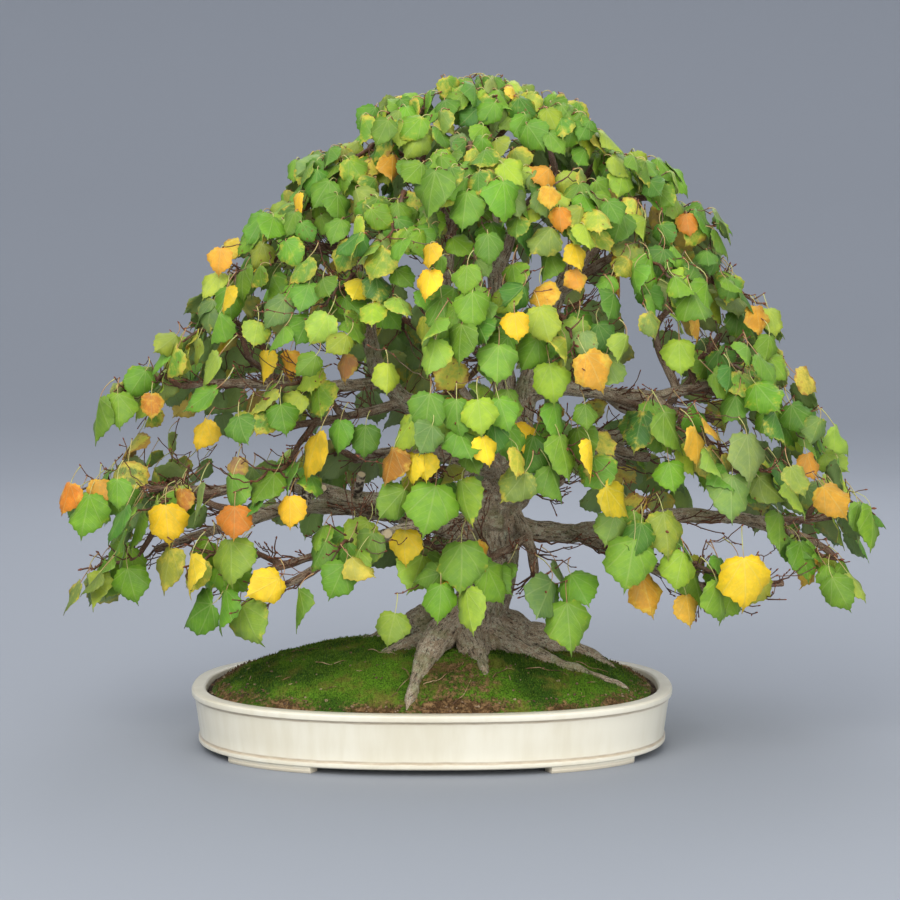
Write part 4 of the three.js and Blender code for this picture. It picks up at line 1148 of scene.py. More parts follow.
def between_leaves(placed):
    """More leaves on the crown's surface wherever none is near, fewer of them lower down."""
    draws = Draws(99)
    found = []
    middles = [heart_middle(leaf) for leaf in placed]
    for k in range(FILL_TRIES):
        down = ((k + 0.5) / FILL_TRIES) ** 0.7
        angle = k * GOLDEN_ANGLE
        z = mean(FILL_TOP, FILL_FOOT, down)
        out = math.sqrt(down) * (1 - FILL_INSET / 430 * draws.next())
        base = Vector((CROWN_CENTRE.x + CROWN_EDGE.x * out * math.cos(angle),
                       CROWN_CENTRE.y + CROWN_EDGE.y * out * math.sin(angle), z))
        facing = Vector((math.cos(angle) * CROWN_EDGE.y, math.sin(angle) * CROWN_EDGE.x, 0)).normalized()
        facing -= Vector((0, 0.2, 0))
        height = min(1, max(0, (z - SPARSE_TO) / (FULL_FROM - SPARSE_TO)))
        length = (LEAF_SHORTEST + LEAF_RANGE * draws.next()) * mean(0.98, 0.8, height)
        turn = math.degrees(math.atan2(facing.x, -facing.y)) + draws.around(TURN_SPREAD)
        leaf = Leaf(base, length, draws.around(LEAN_SPREAD), turn, TILT_LEAST + TILT_RANGE * draws.next(),
                    draws.next(), draws.around(1))
        if draws.next() > mean(SPARSE_SHARE if facing.y < 0.2 else SPARSE_SHARE_BEHIND, 1, height):
            continue
        middle = heart_middle(leaf)
        if min((middle - other).length for other in middles) < FILL_GAP:
            continue
        if (nearest_on(twig_line(carrier(base)), base) - base).length > FILL_REACH:
            continue
        middles.append(middle)
        found.append(leaf)
    return found


# %% Leaves listed one by one
# One row for each leaf: where its foot is in the photograph, in pixels to the right and down, how far back it
# is thought to be in millimetres, its length and width in pixels, its lean in degrees and its colour.
LEAF_READINGS = [
    (433, 172, -190, 50, 42, -3, "green"), (467, 190, -190, 40, 34, 0, "green"),
    (300, 195, -70, 28, 14, 5, "yellow"), (486, 232, -205, 32, 33, 5, "green"),
    (577, 243, -170, 28, 23, 5, "yellow"), (575, 270, -160, 24, 20, 10, "amber"),
    (558, 208, -175, 26, 36, 0, "orange"), (551, 186, -175, 24, 22, -5, "amber"),
    (503, 182, -190, 42, 36, 0, "green"), (688, 212, -50, 24, 28, 5, "orange"),
    (222, 247, -50, 26, 24, -5, "amber"), (347, 354, -120, 28, 22, 0, "brown"),
    (677, 343, -140, 36, 39, 0, "lime"), (757, 308, -30, 31, 26, 0, "amber"),
    (699, 315, -70, 30, 14, 0, "amber"), (498, 346, -240, 40, 40, -5, "green"),
    (428, 269, -215, 31, 27, 0, "yellow"), (431, 246, -215, 26, 20, 10, "yellow"),
    (514, 313, -235, 30, 30, 5, "yellow"), (463, 322, -245, 40, 30, 5, "green"),
    (436, 342, -240, 38, 34, -5, "lime"), (475, 292, -240, 38, 40, 0, "green"),
    (466, 264, -235, 30, 25, 5, "green"), (586, 354, -200, 42, 38, 25, "amber"),
    (551, 365, -200, 39, 37, 5, "lime"), (541, 308, -210, 38, 36, 10, "lime"),
    (264, 349, -50, 33, 24, 5, "yellow"), (291, 352, -50, 30, 26, 0, "amber"),
    (208, 420, -60, 32, 20, -10, "yellow"), (116, 392, -30, 36, 36, 5, "green"),
    (100, 396, -20, 45, 20, 3, "green"), (152, 392, -30, 26, 32, 0, "orange"),
    (365, 424, -130, 33, 30, 0, "green"), (338, 422, -130, 33, 26, 0, "green"),
    (280, 407, -120, 32, 34, 8, "green"), (805, 454, -60, 27, 24, 10, "amber"),
    (484, 435, -265, 30, 23, 5, "yellow"), (455, 400, -260, 38, 38, 0, "green"),
    (428, 392, -255, 42, 44, -8, "green"), (478, 398, -265, 36, 36, 8, "lime"),
    (500, 400, -250, 36, 34, 15, "green"), (606, 488, -190, 40, 24, 38, "yellow"),
    (586, 407, -185, 27, 25, 0, "green"), (592, 442, -190, 40, 12, -8, "yellow"),
    (552, 405, -185, 38, 24, -5, "green"), (562, 438, -195, 46, 28, 0, "green"),
    (694, 425, -150, 38, 16, 0, "amber"), (665, 414, -150, 46, 33, 20, "green"),
    (667, 462, -150, 31, 33, 10, "green"), (732, 476, -130, 48, 60, -5, "dull"),
    (748, 436, -125, 50, 40, -5, "dull"), (780, 512, -70, 40, 26, -18, "green"),
    (858, 504, -20, 38, 24, 0, "green"), (880, 506, -20, 44, 20, -25, "green"),
    (831, 576, -75, 38, 37, 25, "green"), (635, 541, -165, 52, 55, -8, "green"),
    (662, 512, -150, 46, 42, 5, "lime"), (641, 577, -140, 42, 36, 12, "amber"),
    (685, 555, -150, 38, 35, -20, "lime"), (744, 557, -150, 50, 51, 3, "yellow"),
    (688, 594, -135, 31, 24, 0, "amber"), (716, 583, -135, 42, 22, 0, "green"),
    (66, 486, -20, 32, 22, -5, "orange"), (100, 480, -30, 28, 30, 0, "amber"),
    (88, 494, -35, 44, 36, 0, "green"), (164, 504, -85, 39, 47, 5, "yellow"),
    (172, 548, -85, 44, 32, 0, "olive"), (180, 488, -70, 26, 22, 0, "orange"),
    (126, 568, -45, 37, 39, 15, "green"), (231, 541, -130, 47, 43, 8, "lime"),
    (190, 554, -125, 42, 20, 5, "yellow"), (240, 606, -125, 46, 44, 30, "lime"),
    (210, 606, -125, 46, 30, -60, "green"), (228, 592, -130, 43, 25, -3, "green"),
    (282, 580, -150, 38, 44, -60, "yellow"), (234, 508, -140, 34, 36, 0, "orange"),
    (292, 499, -140, 31, 27, 5, "yellow"), (320, 430, -140, 52, 14, -8, "yellow"),
    (240, 460, -100, 25, 23, 0, "brown"), (405, 530, -170, 35, 34, 0, "yellow"),
    (299, 588, -160, 42, 25, 3, "green"), (343, 565, -160, 38, 42, -25, "green"),
    (393, 616, -185, 34, 33, -8, "lime"), (463, 541, -190, 50, 48, 3, "green"),
    (477, 540, -180, 30, 24, 10, "amber"), (442, 583, -195, 38, 41, 0, "green"),
    (440, 570, -180, 32, 26, -70, "green"), (466, 592, -195, 44, 30, 20, "lime"),
    (489, 566, -180, 44, 24, 25, "green"), (565, 604, -150, 51, 54, 5, "green"),
    (552, 582, -140, 50, 38, -45, "dull"), (434, 486, -225, 51, 50, -8, "green"),
    (460, 480, -225, 46, 34, 18, "lime"), (402, 492, -215, 40, 42, -45, "green"),
    (392, 449, -215, 38, 24, 0, "orange"), (412, 453, -220, 30, 24, -5, "yellow"),
    (425, 453, -225, 28, 20, 15, "yellow"),
]
TRUNK_COLUMN = 470
FULL_WIDTH = 0.98
FALL_AWAY = 0.09
PLACE_STEP = 5


def stepped(value):
    """A value to the nearest five, which is about how well the photograph can be read."""
    return PLACE_STEP * round(value / PLACE_STEP)


def leaf_seen(right, down, depth, long, wide, lean, color):
    """A leaf's foot, length, lean and turn, from its reading: a blade that looks narrow is turned away."""
    x, y, z = seen_at(right, down, depth)
    away = VIEW_DISTANCE / MM + depth - (z - VIEW_AIM_UP) * FALL_AWAY
    turn = math.degrees(math.acos(min(1, wide / (FULL_WIDTH * long))))
    side = 1 if right > TRUNK_COLUMN else -1
    return (stepped(x), stepped(y), stepped(z), round(long * away / VIEW_FOCUS), stepped(lean),
            stepped(turn * side), color)


FRONT_LEAVES = [leaf_seen(*reading) for reading in LEAF_READINGS]


def twig_line(spray):
    return [spray.start, spray.lifted, spray.end]


def nearest_on(line, spot):
    """The nearest point of a line of points, a little in from its two ends."""
    best = None
    for a, b in zip(line, line[1:]):
        share = min(0.95, max(0.15, (spot - a).dot(b - a) / (b - a).length_squared))
        found = a.lerp(b, share)
        if best is None or (found - spot).length < (best - spot).length:
            best = found
    return best


def carrier(base):
    """The spray whose twig could best carry a leaf: near its base, and rather above it than below."""
    def reach(spray):
        foot = nearest_on(twig_line(spray), base)
        return (foot - base).length + max(0, base.z - foot.z)
    return min(sprays, key=reach)


def hides(leaf, other, room=0.62):
    """Whether a leaf stands before another, seen from the front, or nearly in its place."""
    gap = leaf.base + leaf.tip * leaf.length * 0.4 - other.base - other.tip * other.length * 0.4
    close = 0.5 * (leaf.length + other.length)
    if gap.length < 0.55 * close:
        return True
    return gap.y < 6 and abs(gap.x) < room * close and abs(gap.z) < room * close


def hold_inside(leaf):
    """Move a leaf that would reach beyond the solids' box back into it."""
    middle = leaf.base + leaf.tip * 0.45 * leaf.length
    for axis, (low, high) in enumerate(zip(*CROWN_BOX)):
        half = 0.5 * leaf.length
        leaf.base[axis] -= max(0, middle[axis] + half - high) + min(0, middle[axis] - half - low)


FILL_ROOM = 0.85


def share_out():
    """Front leaves and the other leaves of each spray, without those that would hide a front leaf."""
    hand_placed = {spray.name: [] for spray in sprays}
    front = []
    for i, (x, y, z, length, lean, turn, color) in enumerate(FRONT_LEAVES):
        leaf = Leaf((x, y, z), length, lean, turn, FRONT_TILT, FRONT_FOLD, (i % 5 - 2) / 3, color)
        front.append(leaf)
        hand_placed[carrier(leaf.base).name].append(leaf)
    shared = {}
    for spray in sprays:
        free = [leaf for leaf in spray_leaves(spray) if not any(hides(leaf, other) for other in front)]
        shared[spray.name] = hand_placed[spray.name] + free
    fillers = between_leaves([leaf for leaves in shared.values() for leaf in leaves])
    for leaf in fillers:
        if not any(hides(leaf, other, FILL_ROOM) for other in front):
            shared[carrier(leaf.base).name].append(leaf)
    for leaves in shared.values():
        for leaf in leaves:
            hold_inside(leaf)
    return shared


leaves_of = share_out()
print("leaves:", sum(len(leaves) for leaves in leaves_of.values()))

# %% [markdown]
# ### Colours of autumn
#
# A linden turns leaf by leaf: most are still green, some lime, and here and there one is yellow, amber, orange
# or a dry brown. Each colour name below is the middle of a range, and every leaf is drawn a little away from it.

# %% Leaf colours
LEAF_COLORS = {
    "green": (srgb(108, 154, 48), 0.06), "deep": (srgb(84, 132, 46), 0.0), "lime": (srgb(148, 178, 62), 0.16),
    "yellow": (srgb(234, 200, 46), 0.2), "amber": (srgb(214, 160, 54), 0.34), "orange": (srgb(202, 130, 46), 0.4),
    "brown": (srgb(172, 128, 84), 0.3), "olive": (srgb(164, 170, 64), 0.36), "dull": (srgb(118, 146, 72), 0.12),
}
FREE_COLORS = ["green"] * 24 + ["deep"] * 7 + ["lime"] * 10 + ["dull"] * 5 + ["olive"] * 2 + ["yellow", "amber"]


HAND_SPREAD = 0.06
FREE_SPREAD = 0.16


def leaf_paint(leaf):
    """A leaf's colour and how far the autumn has come in from its rim."""
    middle, turned = LEAF_COLORS[leaf.color or random.choice(FREE_COLORS)]
    light = random.uniform(0.7, 1.14)
    warmth = random.uniform(0.88, 1.2)
    color = (middle[0] * light * warmth, middle[1] * light, middle[2] * light * random.uniform(0.7, 1.3))
    spread = HAND_SPREAD if leaf.color else FREE_SPREAD
    chance = random.random()
    return color, min(1, max(0, random.gauss(turned, spread))), chance * 0.6 if leaf.color else chance


# %% Bending the blades
random.seed(5)


def bent_blade(leaf):
    """The template's points folded, curled and set in a leaf's place, in millimetres."""
    u, v, n = blade_shape.T.copy()
    width = random.uniform(0.86, 1.06)
    fold = 0.03 + 0.34 * leaf.fold + random.uniform(-0.03, 0.05)
    droop = random.uniform(-0.06, 0.28)
    curl = random.uniform(-0.5, 1.6)
    cup = random.uniform(-0.06, 0.12)
    ripple = random.uniform(0.02, 0.075)
    phase = random.uniform(0, 2 * math.pi)
    twist = random.uniform(-0.5, 0.5) + 0.2 * leaf.wave
    rim = np.abs(v) / 0.495
    lobe = 1 + 0.075 * np.sin(5 * np.arctan2(v, u - 0.3) + phase)
    v = v * width * lobe
    n = n - fold * rim ** 1.25 - droop * u ** 2 + cup * rim ** 3
    n = n + ripple * np.sin(9 * u + 4 * np.sign(v) + phase) * rim ** 2
    n = n - curl * np.clip(u - 0.8, 0, 1) ** 2
    turn = twist * u
    v, n = v * np.cos(turn) - n * np.sin(turn), v * np.sin(turn) + n * np.cos(turn)
    v = v + 0.05 * math.sin(phase) * u ** 2
    axes = np.array([leaf.tip, leaf.across, leaf.out])
    return np.array(leaf.base) + leaf.length * (np.column_stack([u, v, n]) @ axes)


def leaves_mesh(name, leaves):
    mesh = copies(name, blade, len(leaves))
    points = np.concatenate([bent_blade(leaf) for leaf in leaves])
    mesh.vertices.foreach_set("co", (points * MM + np.array(POT_MIDDLE)).ravel())
    count = len(blade.vertices)
    paints = [leaf_paint(leaf) for leaf in leaves]
    store(mesh, "tint", "FLOAT_COLOR", np.repeat([(*color, 1) for color, _, _ in paints], count, axis=0))
    turned = np.repeat([(turned, chance, 0) for _, turned, chance in paints], count, axis=0)
    store(mesh, "autumn", "FLOAT_VECTOR", turned)
    flat = np.column_stack([blade_shape[:, 0], blade_shape[:, 1], blade_edge])
    store(mesh, "blade", "FLOAT_VECTOR", np.tile(flat, (len(leaves), 1)))
    store(mesh, "under", "FLOAT", np.tile(blade_under, len(leaves)))
    mesh.update()
    return mesh


# %% [markdown]
# ### The leaf's finish
#
# The blade's own coordinates run along and across each leaf. From them come the pale veins: a midrib, two
# pairs that fan out from the stalk and side veins between them. Autumn comes in from the rim, first yellow and
# then brown, with a few spots.

# %% Leaf finish
leaf_finish = Finish("linden_leaf", Roughness=0.5, Specular_IOR_Level=0.3)
blade_u, blade_v, rim_share = leaf_finish.parts(leaf_finish.stored("blade", "Vector"))
turned, chance, _ = leaf_finish.parts(leaf_finish.stored("autumn", "Vector"))
under = leaf_finish.stored("under")
spot = leaf_finish.where()
half = abs(blade_v)


def vein(angle, width):
    """1 on a straight vein from the stalk at an angle to the midrib, 0 beside it."""
    away = abs(blade_u * math.sin(math.radians(angle)) - half * math.cos(math.radians(angle)))
    ahead = blade_u * math.cos(math.radians(angle)) + half * math.sin(math.radians(angle))
    return (1 - away.rise(width * 0.3, width)) * ahead.rise(-0.02, 0.03)


SIDE_VEINS = 7.5
side_phase = ((blade_u - half * 0.75) * SIDE_VEINS).fraction()
side_veins = (1 - abs(side_phase - 0.5).rise(0.02, 0.12)) * (blade_u - half * 0.6).rise(0.02, 0.1) * 0.45
veins = vein(0, 0.026).most(vein(33, 0.02)).most(vein(68, 0.018)).most(side_veins)
tint = leaf_finish.stored("tint", "Color")
patches = leaf_finish.noise(spot, 90, 3)
mottle = leaf_finish.noise(spot, 320, 3, 0.6)
sunned = leaf_finish.mix(tint, (1.24, 1.16, 0.95), 1.0, "MULTIPLY")
leafy = leaf_finish.mix(tint, sunned, (patches * 0.7 + mottle * 0.3).rise(0.4, 0.62))
leafy = leaf_finish.mix(leafy, (0.55, 0.60, 0.24), veins * 0.15)
leafy = leaf_finish.mix(leafy, leaf_finish.mix(leafy, (0.42, 0.50, 0.26), 0.4), under)
creep = rim_share * 0.2 + patches * 0.9 + (mottle - 0.5) * 0.5 + turned + (chance - 0.5) * 0.3 - 0.54
leafy = leaf_finish.mix(leafy, srgb(226, 202, 78), creep.rise(0.26, 0.64) * 0.75)
leafy = leaf_finish.mix(leafy, srgb(172, 118, 62), (creep + rim_share * 0.1).rise(0.6, 0.86) * 0.75)
spots = (1 - leaf_finish.cells(spot, 130).rise(0.1, 0.22)) * (chance + patches * 0.5).rise(0.98, 1.12)
leafy = leaf_finish.mix(leafy, srgb(122, 76, 40), spots * 0.7)
leaf_finish.paint("Base Color", leafy)
leaf_finish.paint("Roughness", 0.42 + patches * 0.2)
leaf_finish.bump(veins * -0.6 + patches * 0.8 + mottle * 0.4, 0.45, 0.0008)

for spray in sprays:
    mesh = leaves_mesh("leaves_" + spray.name, leaves_of[spray.name])
    keep("leaves_" + spray.name, mesh, leaf_finish, "leaf", "spray_" + spray.name)
print("leaf triangles:", sum(n for name, n in triangle_counts.items() if name.startswith("leaves_")))

# %% [markdown]
# ## Branches that carry the sprays
#
# The wood thinner than a finger is drawn as curves: a bevelled curve is a round tube whose radius may change at
# every point. `Thin` collects many such tubes and turns them into one mesh, with a bud where one is wanted.

# %% Thin wood
BUD_SIDES = 5


def make_bud():
    """A pointed bud, one unit wide from its middle and nearly four units long."""
    bm = bmesh.new()
    bmesh.ops.create_uvsphere(bm, u_segments=BUD_SIDES, v_segments=4, radius=1)
    for v in bm.verts:
        v.co.z = 1.9 * v.co.z + 1.1
        v.co.xy *= 1.15 - 0.2 * v.co.z
    return as_mesh("bud", bm)


bud_shape = make_bud()


class Thin:
    """Collects thin tubes and buds, in millimetres, and makes one mesh of them."""

    def __init__(self, name, roundness):
        self.curve = bpy.data.curves.new(name, "CURVE")
        self.curve.dimensions = "3D"
        self.curve.bevel_depth = MM
        self.curve.bevel_resolution = roundness
        self.curve.use_fill_caps = True
        self.buds = []

    def add(self, points, radii):
        spline = self.curve.splines.new("POLY")
        spline.points.add(len(points) - 1)
        for knot, spot, radius in zip(spline.points, points, radii):
            knot.co = (*place(*spot), 1)
            knot.radius = radius

    def add_bud(self, spot, way, radius):
        self.buds.append(standing(spot, way, radius, radius))

    def mesh(self):
        tubes = settled(self.curve)
        bm = bmesh.new()
        bm.from_mesh(tubes)
        if self.buds:
            bm.from_mesh(scattered("buds", bud_shape, self.buds))
        mesh = as_mesh(self.curve.name, bm)
        store(mesh, "bud", "FLOAT", (np.arange(len(mesh.vertices)) >= len(tubes.vertices)).astype(float))
        return mesh


# %% Side branches
side_wood = Thin("side_branches", 3)
side_routes = []
for branch in branches:
    route = smooth_route(branch, max(4, by_length(branch)))
    route = wandering(route, 0.55)
    flare = [1 + 0.35 * max(0, 1 - 4 * i / len(route)) for i in range(len(route))]
    side_routes.append([(spot, radius * more) for (spot, radius), more in zip(route, flare)])
    side_wood.add([spot for spot, _ in route], [radius for _, radius in side_routes[-1]])
side_mesh = side_wood.mesh()
grain_of = Grain(side_routes)
rows = grain_rows(side_mesh)
store(side_mesh, "grain", "FLOAT_VECTOR", rows[:, :3])
store(side_mesh, "girth", "FLOAT", rows[:, 3])
keep("side_branches", side_mesh, old_bark, "bark", "wood")
print("side branches:", triangle_counts["side_branches"], "triangles")

# %% [markdown]
# ## Twigs, buds and leaf stalks
#
# Inside a spray the twigs fork again and again, and each fork reaches for a leaf. We let them grow greedily:
# every leaf joins the network where that costs the least new wood, so the twigs branch as on a real shoot.

# %% Twigs
random.seed(23)
TWIG_END = 0.55
STEP = 7
PATH_COST = 0.4
HIGH = 530
HIGH_DROP = 9


def kinked(a, b, amount):
    """Points from a to b that zigzag a little, as twigs do at their buds."""
    gap = b - a
    count = max(2, round(gap.length / STEP))
    points = [a]
    for i in range(1, count):
        drift = Vector([random.uniform(-1, 1) for _ in range(3)]) * amount * gap.length / count
        sag = UP * -0.1 * gap.length * math.sin(math.pi * i / count)
        points.append(a.lerp(b, i / count) + drift + sag)
    return [*points, b]


def grow_twigs(spray, leaves):
    """The twigs and stalks of a spray, grown from its main twig to each of its leaves."""
    wood = Thin("twigs_" + spray.name, 1)
    stalks = Thin("stalks_" + spray.name, 0)
    sunk = UP * (HIGH_DROP if spray.middle.z > HIGH else 0)
    lifted, end = spray.lifted - sunk, spray.end - sunk
    main = kinked(spray.start, lifted, 0.12) + kinked(lifted, end, 0.2)[1:]
    radii = [mean(2.7, 1, i / (len(main) - 1)) for i in range(len(main))]
    wood.add(main, radii)
    wood.add_bud(main[-1], main[-1] - main[-2], 1.5)
    network = [(spot, radius, STEP * i) for i, (spot, radius) in enumerate(zip(main, radii))][1:]

    def fork(goal, end_radius=TWIG_END):
        spot, radius, path = min(network, key=lambda knot: (knot[0] - goal).length + PATH_COST * knot[2])
        reach = (goal - spot).length
        points = kinked(spot, goal, 0.22)
        thick = min(0.8 * radius, TWIG_END + 0.35 + 0.012 * reach)
        radii = [mean(thick, end_radius, i / (len(points) - 1)) for i in range(len(points))]
        wood.add(points, radii)
        wood.add_bud(points[-1], points[-1] - points[-2], random.uniform(0.75, 1.15))
        for i in range(1, len(points) - 1):
            if random.random() < 0.25:
                away = Vector([random.uniform(-1, 1) for _ in range(3)]) + UP * 0.4
                wood.add_bud(points[i], away, random.uniform(0.6, 0.9))
        for i in range(1, len(points)):
            network.append((points[i], radii[i], path + STEP * i))

    roots = []
    for leaf in leaves:
        share = random.uniform(0.34, 0.6) * (0.12 if spray.middle.z > HIGH else 1)
        roots.append(leaf.base + UP * share * leaf.length - leaf.face * random.uniform(0.25, 0.55) * leaf.length)
    order = sorted(range(len(leaves)), key=lambda i: (nearest_on(main, roots[i]) - roots[i]).length)
    for i in order:
        fork(roots[i])
        leaf = leaves[i]
        reach = (roots[i] - leaf.base).length
        hold = leaf.base - leaf.tip * 0.55 * reach
        points = [leaf.base.lerp(hold, t).lerp(hold.lerp(roots[i], t), t) for t in (-0.02, 0.25, 0.5, 0.75, 1)]
        stalks.add(points, [0.42, 0.45, 0.5, 0.55, 0.75])
    for _ in range(0 if spray.middle.z > HIGH else round(spray.width / 9)):
        spot, _, _ = random.choice(network)
        way = spray.along * random.uniform(0.1, 1) + spray.side * random.uniform(-0.9, 0.9)
        goal = spot + (way + UP * random.uniform(-0.3, 0.5)) * random.uniform(14, 34)
        fork(Vector(min(high, max(low, c)) for c, low, high in zip(goal, *CROWN_BOX)))
    return wood.mesh(), stalks.mesh()


# %% Twig and stalk finishes
def make_twig_bark():
    bark = Finish("twig_bark", Roughness=0.6, Specular_IOR_Level=0.35)
    spot = bark.where()
    streak = bark.noise(spot, 160, 4, 0.6)
    grey = bark.noise(spot, 45, 3).rise(0.5, 0.66)
    skin = bark.mix(srgb(84, 54, 40), srgb(132, 92, 66), streak.rise(0.4, 0.66))
    skin = bark.mix(skin, srgb(122, 112, 96), grey * 0.5)
    bud = bark.stored("bud")
    bark.paint("Base Color", bark.mix(skin, bark.mix(srgb(104, 50, 38), srgb(150, 92, 62), streak), bud))
    bark.bump(streak, 0.4, 0.0006)
    return bark


def make_stalk_finish():
    stalk = Finish("leaf_stalk", Roughness=0.5)
    tone = stalk.noise(stalk.where(), 40, 2).rise(0.4, 0.62)
    stalk.paint("Base Color", stalk.mix(srgb(196, 196, 120), srgb(186, 140, 98), tone))
    return stalk


twig_bark = make_twig_bark()
stalk_finish = make_stalk_finish()
for spray in sprays:
    twigs, stalks = grow_twigs(spray, leaves_of[spray.name])
    keep("twigs_" + spray.name, twigs, twig_bark, "bark", "spray_" + spray.name)
    keep("stalks_" + spray.name, stalks, stalk_finish, "leaf", "spray_" + spray.name)
for kind in ("twigs_", "stalks_"):
    print(kind, sum(n for name, n in triangle_counts.items() if name.startswith(kind)), "triangles")

# %% [markdown]
# ## Bare shoots along the limbs
#
# Between the leafy tiers one looks into a thicket of fine bare wood. Short shoots leave the limbs and side
# branches at a shallow angle, fork once or twice and end in a bud.

# %% Bare shoots
random.seed(31)
SHOOT_SPACING = 15
INSIDE = 0.86


def grow_shoots():
    wood = Thin("bare_shoots", 0)

    def shoot(spot, way, reach, radius, forks):
        if sum(((spot + way * reach - CROWN_CENTRE)[i] / CROWN_REACH[i]) ** 2 for i in range(3)) > INSIDE ** 2:
            return
        points = kinked(spot, spot + way * reach, 0.2)
        radii = [mean(radius, TWIG_END, i / (len(points) - 1)) for i in range(len(points))]
        wood.add(points, radii)
        wood.add_bud(points[-1], points[-1] - points[-2], random.uniform(0.75, 1.15))
        for i in range(1, len(points) - 1):
            if random.random() < 0.22:
                wood.add_bud(points[i], Vector([random.uniform(-1, 1) for _ in range(3)]), 0.8)
        if forks:
            for _ in range(random.choice((1, 2))):
                i = random.randint(1, len(points) - 1)
                aside = Vector([random.uniform(-1, 1), random.uniform(-1, 1), random.uniform(-0.5, 0.6)])
                new_way = (way + aside * 0.75).normalized()
                shoot(points[i], new_way, reach * random.uniform(0.45, 0.8), radii[i] * 0.85, forks - 1)

    routes = [smooth_route(rows, by_length(rows)) for rows in LIMBS.values()] + side_routes
    for route in routes:
        walked = 0
        for (before, _), (spot, radius) in zip(route, route[1:]):
            walked += (spot - before).length
            outward = spot - CROWN_CENTRE
            if walked < SHOOT_SPACING or (spot - Vector((70, 0, spot.z))).length < 45:
                continue
            walked = random.uniform(-6, 4)
            along = (spot - before).normalized()
            level = Vector((outward.x, outward.y, 0)).normalized()
            aside = Vector([random.uniform(-1, 1), random.uniform(-1, 1), random.uniform(-0.35, 0.6)])
            way = (along * 0.7 + level * 0.35 + aside * 0.8).normalized()
            shoot(spot, way, random.uniform(24, 58), min(radius * 0.5, random.uniform(0.9, 1.7)), 2)
    return wood.mesh()


keep("bare_shoots", grow_shoots(), twig_bark, "bark")
print("bare shoots:", triangle_counts["bare_shoots"], "triangles")


# %% [markdown]
# ### Pruned stubs
#
# Where a grower has cut a branch away, a short stub with a pale end is left. Four of them show on the left.

# %% Pruned stubs
STUBS = [(-132, -50, 258, 5), (-112, -46, 274, 4), (-72, -52, 289, 4.5), (-44, -106, 234, 5)]


def make_stub():
    """A short round peg along Z, a unit long and wide, with a raised pale cut at its end."""
    bm = bmesh.new()
    bmesh.ops.create_cone(bm, cap_ends=True, segments=14, radius1=1.25, radius2=1, depth=1)
    end = max(bm.faces, key=lambda face: face.calc_center_median().z)
    bmesh.ops.inset_region(bm, faces=[end], thickness=0.16, depth=-0.03)
    bmesh.ops.inset_region(bm, faces=[end], thickness=0.4, depth=0.02)
    return as_mesh("stub", bm)


def grow_stubs():
    stub = make_stub()
    turns = []
    for x, y, z, radius in STUBS:
        end = Vector((x, y, z))
        foot = min((spot for rows in LIMBS.values() for spot, _ in smooth_route(rows, by_length(rows))),
                   key=lambda spot: (spot - end).length)
        turns.append(standing(foot.lerp(end, 0.55), end - foot, radius, (end - foot).length * 0.9))
    mesh = scattered("pruned_stubs", stub, turns)
    cut = np.linalg.norm(vertices(stub)[:, :2], axis=1) < 0.9
    store(mesh, "cut", "FLOAT", np.tile(cut.astype(float), len(STUBS)))
    return mesh


stub_finish = Finish("pruned_wood", Roughness=0.8)
tone = stub_finish.noise(stub_finish.where(), 200, 4, 0.6)
stub_bark = stub_finish.mix(BARK_DARK, BARK_GREY, tone.rise(0.4, 0.62))
stub_finish.paint("Base Color", stub_finish.mix(stub_bark, srgb(226, 206, 168), stub_finish.stored("cut")))
stub_finish.bump(tone, 0.6, 0.001)
keep("pruned_stubs", grow_stubs(), stub_finish, "bark")
# %% [markdown]
# ## The mound
#
# Moss covers the planting mix in soft cushions, highest where the roots are. We extrude the pot's inner oval
# inwards, ring by ring, up the mound, and lift every point by a few layers of noise. Thousands of tiny leaning
# cones on top give the moss its pile.

# %% Moss surface
EDGE_LEVEL = 59
MOUND_RISE = 49
MOUND_POWER = 0.8
MOSS_INSET = 21
MOSS_SEGMENTS = 220
MOSS_RINGS = 46


def mound_level(share):
    return EDGE_LEVEL + MOUND_RISE * max(0, 1 - share * share) ** MOUND_POWER


def bare_patch(x, y):
    """How bare the ground is at a spot, 0 to 1: mostly near the rim, at the back and before the trunk."""
    share = mound_share(x, y)
    rim = min(1, max(0, (share - 0.86) / 0.1)) * (0.55 + 0.45 * noise.noise(Vector((x, y, 9)) * 0.03))
    behind = min(1, max(0, (y + 20) / 120)) * min(1, max(0, (share - 0.62) / 0.2)) * 0.8
    heap = max(0, 1 - math.hypot((x - 26) / 62, (y + 112) / 60) ** 3)
    chance = 0.5 + 0.5 * noise.noise(Vector((x, y, 3)) * 0.045) + 0.3 * noise.noise(Vector((x, y, 5)) * 0.15)
    return min(1, rim + behind + (0.4 + 0.3 * chance) * heap + max(0, chance - 0.76) * 1.5)


def mound_share(x, y):
    """How far out a spot lies on the mound: 0 at its middle, 1 at its rim."""
    across = abs(x) / (POT_LENGTH / 2 - MOSS_INSET)
    deep = abs(y) / (POT_DEPTH / 2 - MOSS_INSET)
    return (across ** OVAL_EXPONENT + deep ** OVAL_EXPONENT) ** (1 / OVAL_EXPONENT)


def ground(x, y):
    """Height of the moss or bare soil at a spot, in millimetres."""
    share = mound_share(x, y)
    heap = 8 * max(0, 1 - math.hypot((x - 34) / 56, (y + 94) / 48)) ** 0.7
    hold = min(1, max(0, (1 - share) / 0.06))
    spot = Vector((x, y, 0))
    lumps = 3.4 * noise.noise(spot * 0.022) + 1.9 * noise.noise(spot * 0.06) + 1.0 * noise.noise(spot * 0.16)
    grit = 0.6 * noise.noise(spot * 0.5)
    return mound_level(min(1, share)) + heap + hold * lumps + grit * (0.4 + 0.6 * hold) - 1.2 * bare_patch(x, y)


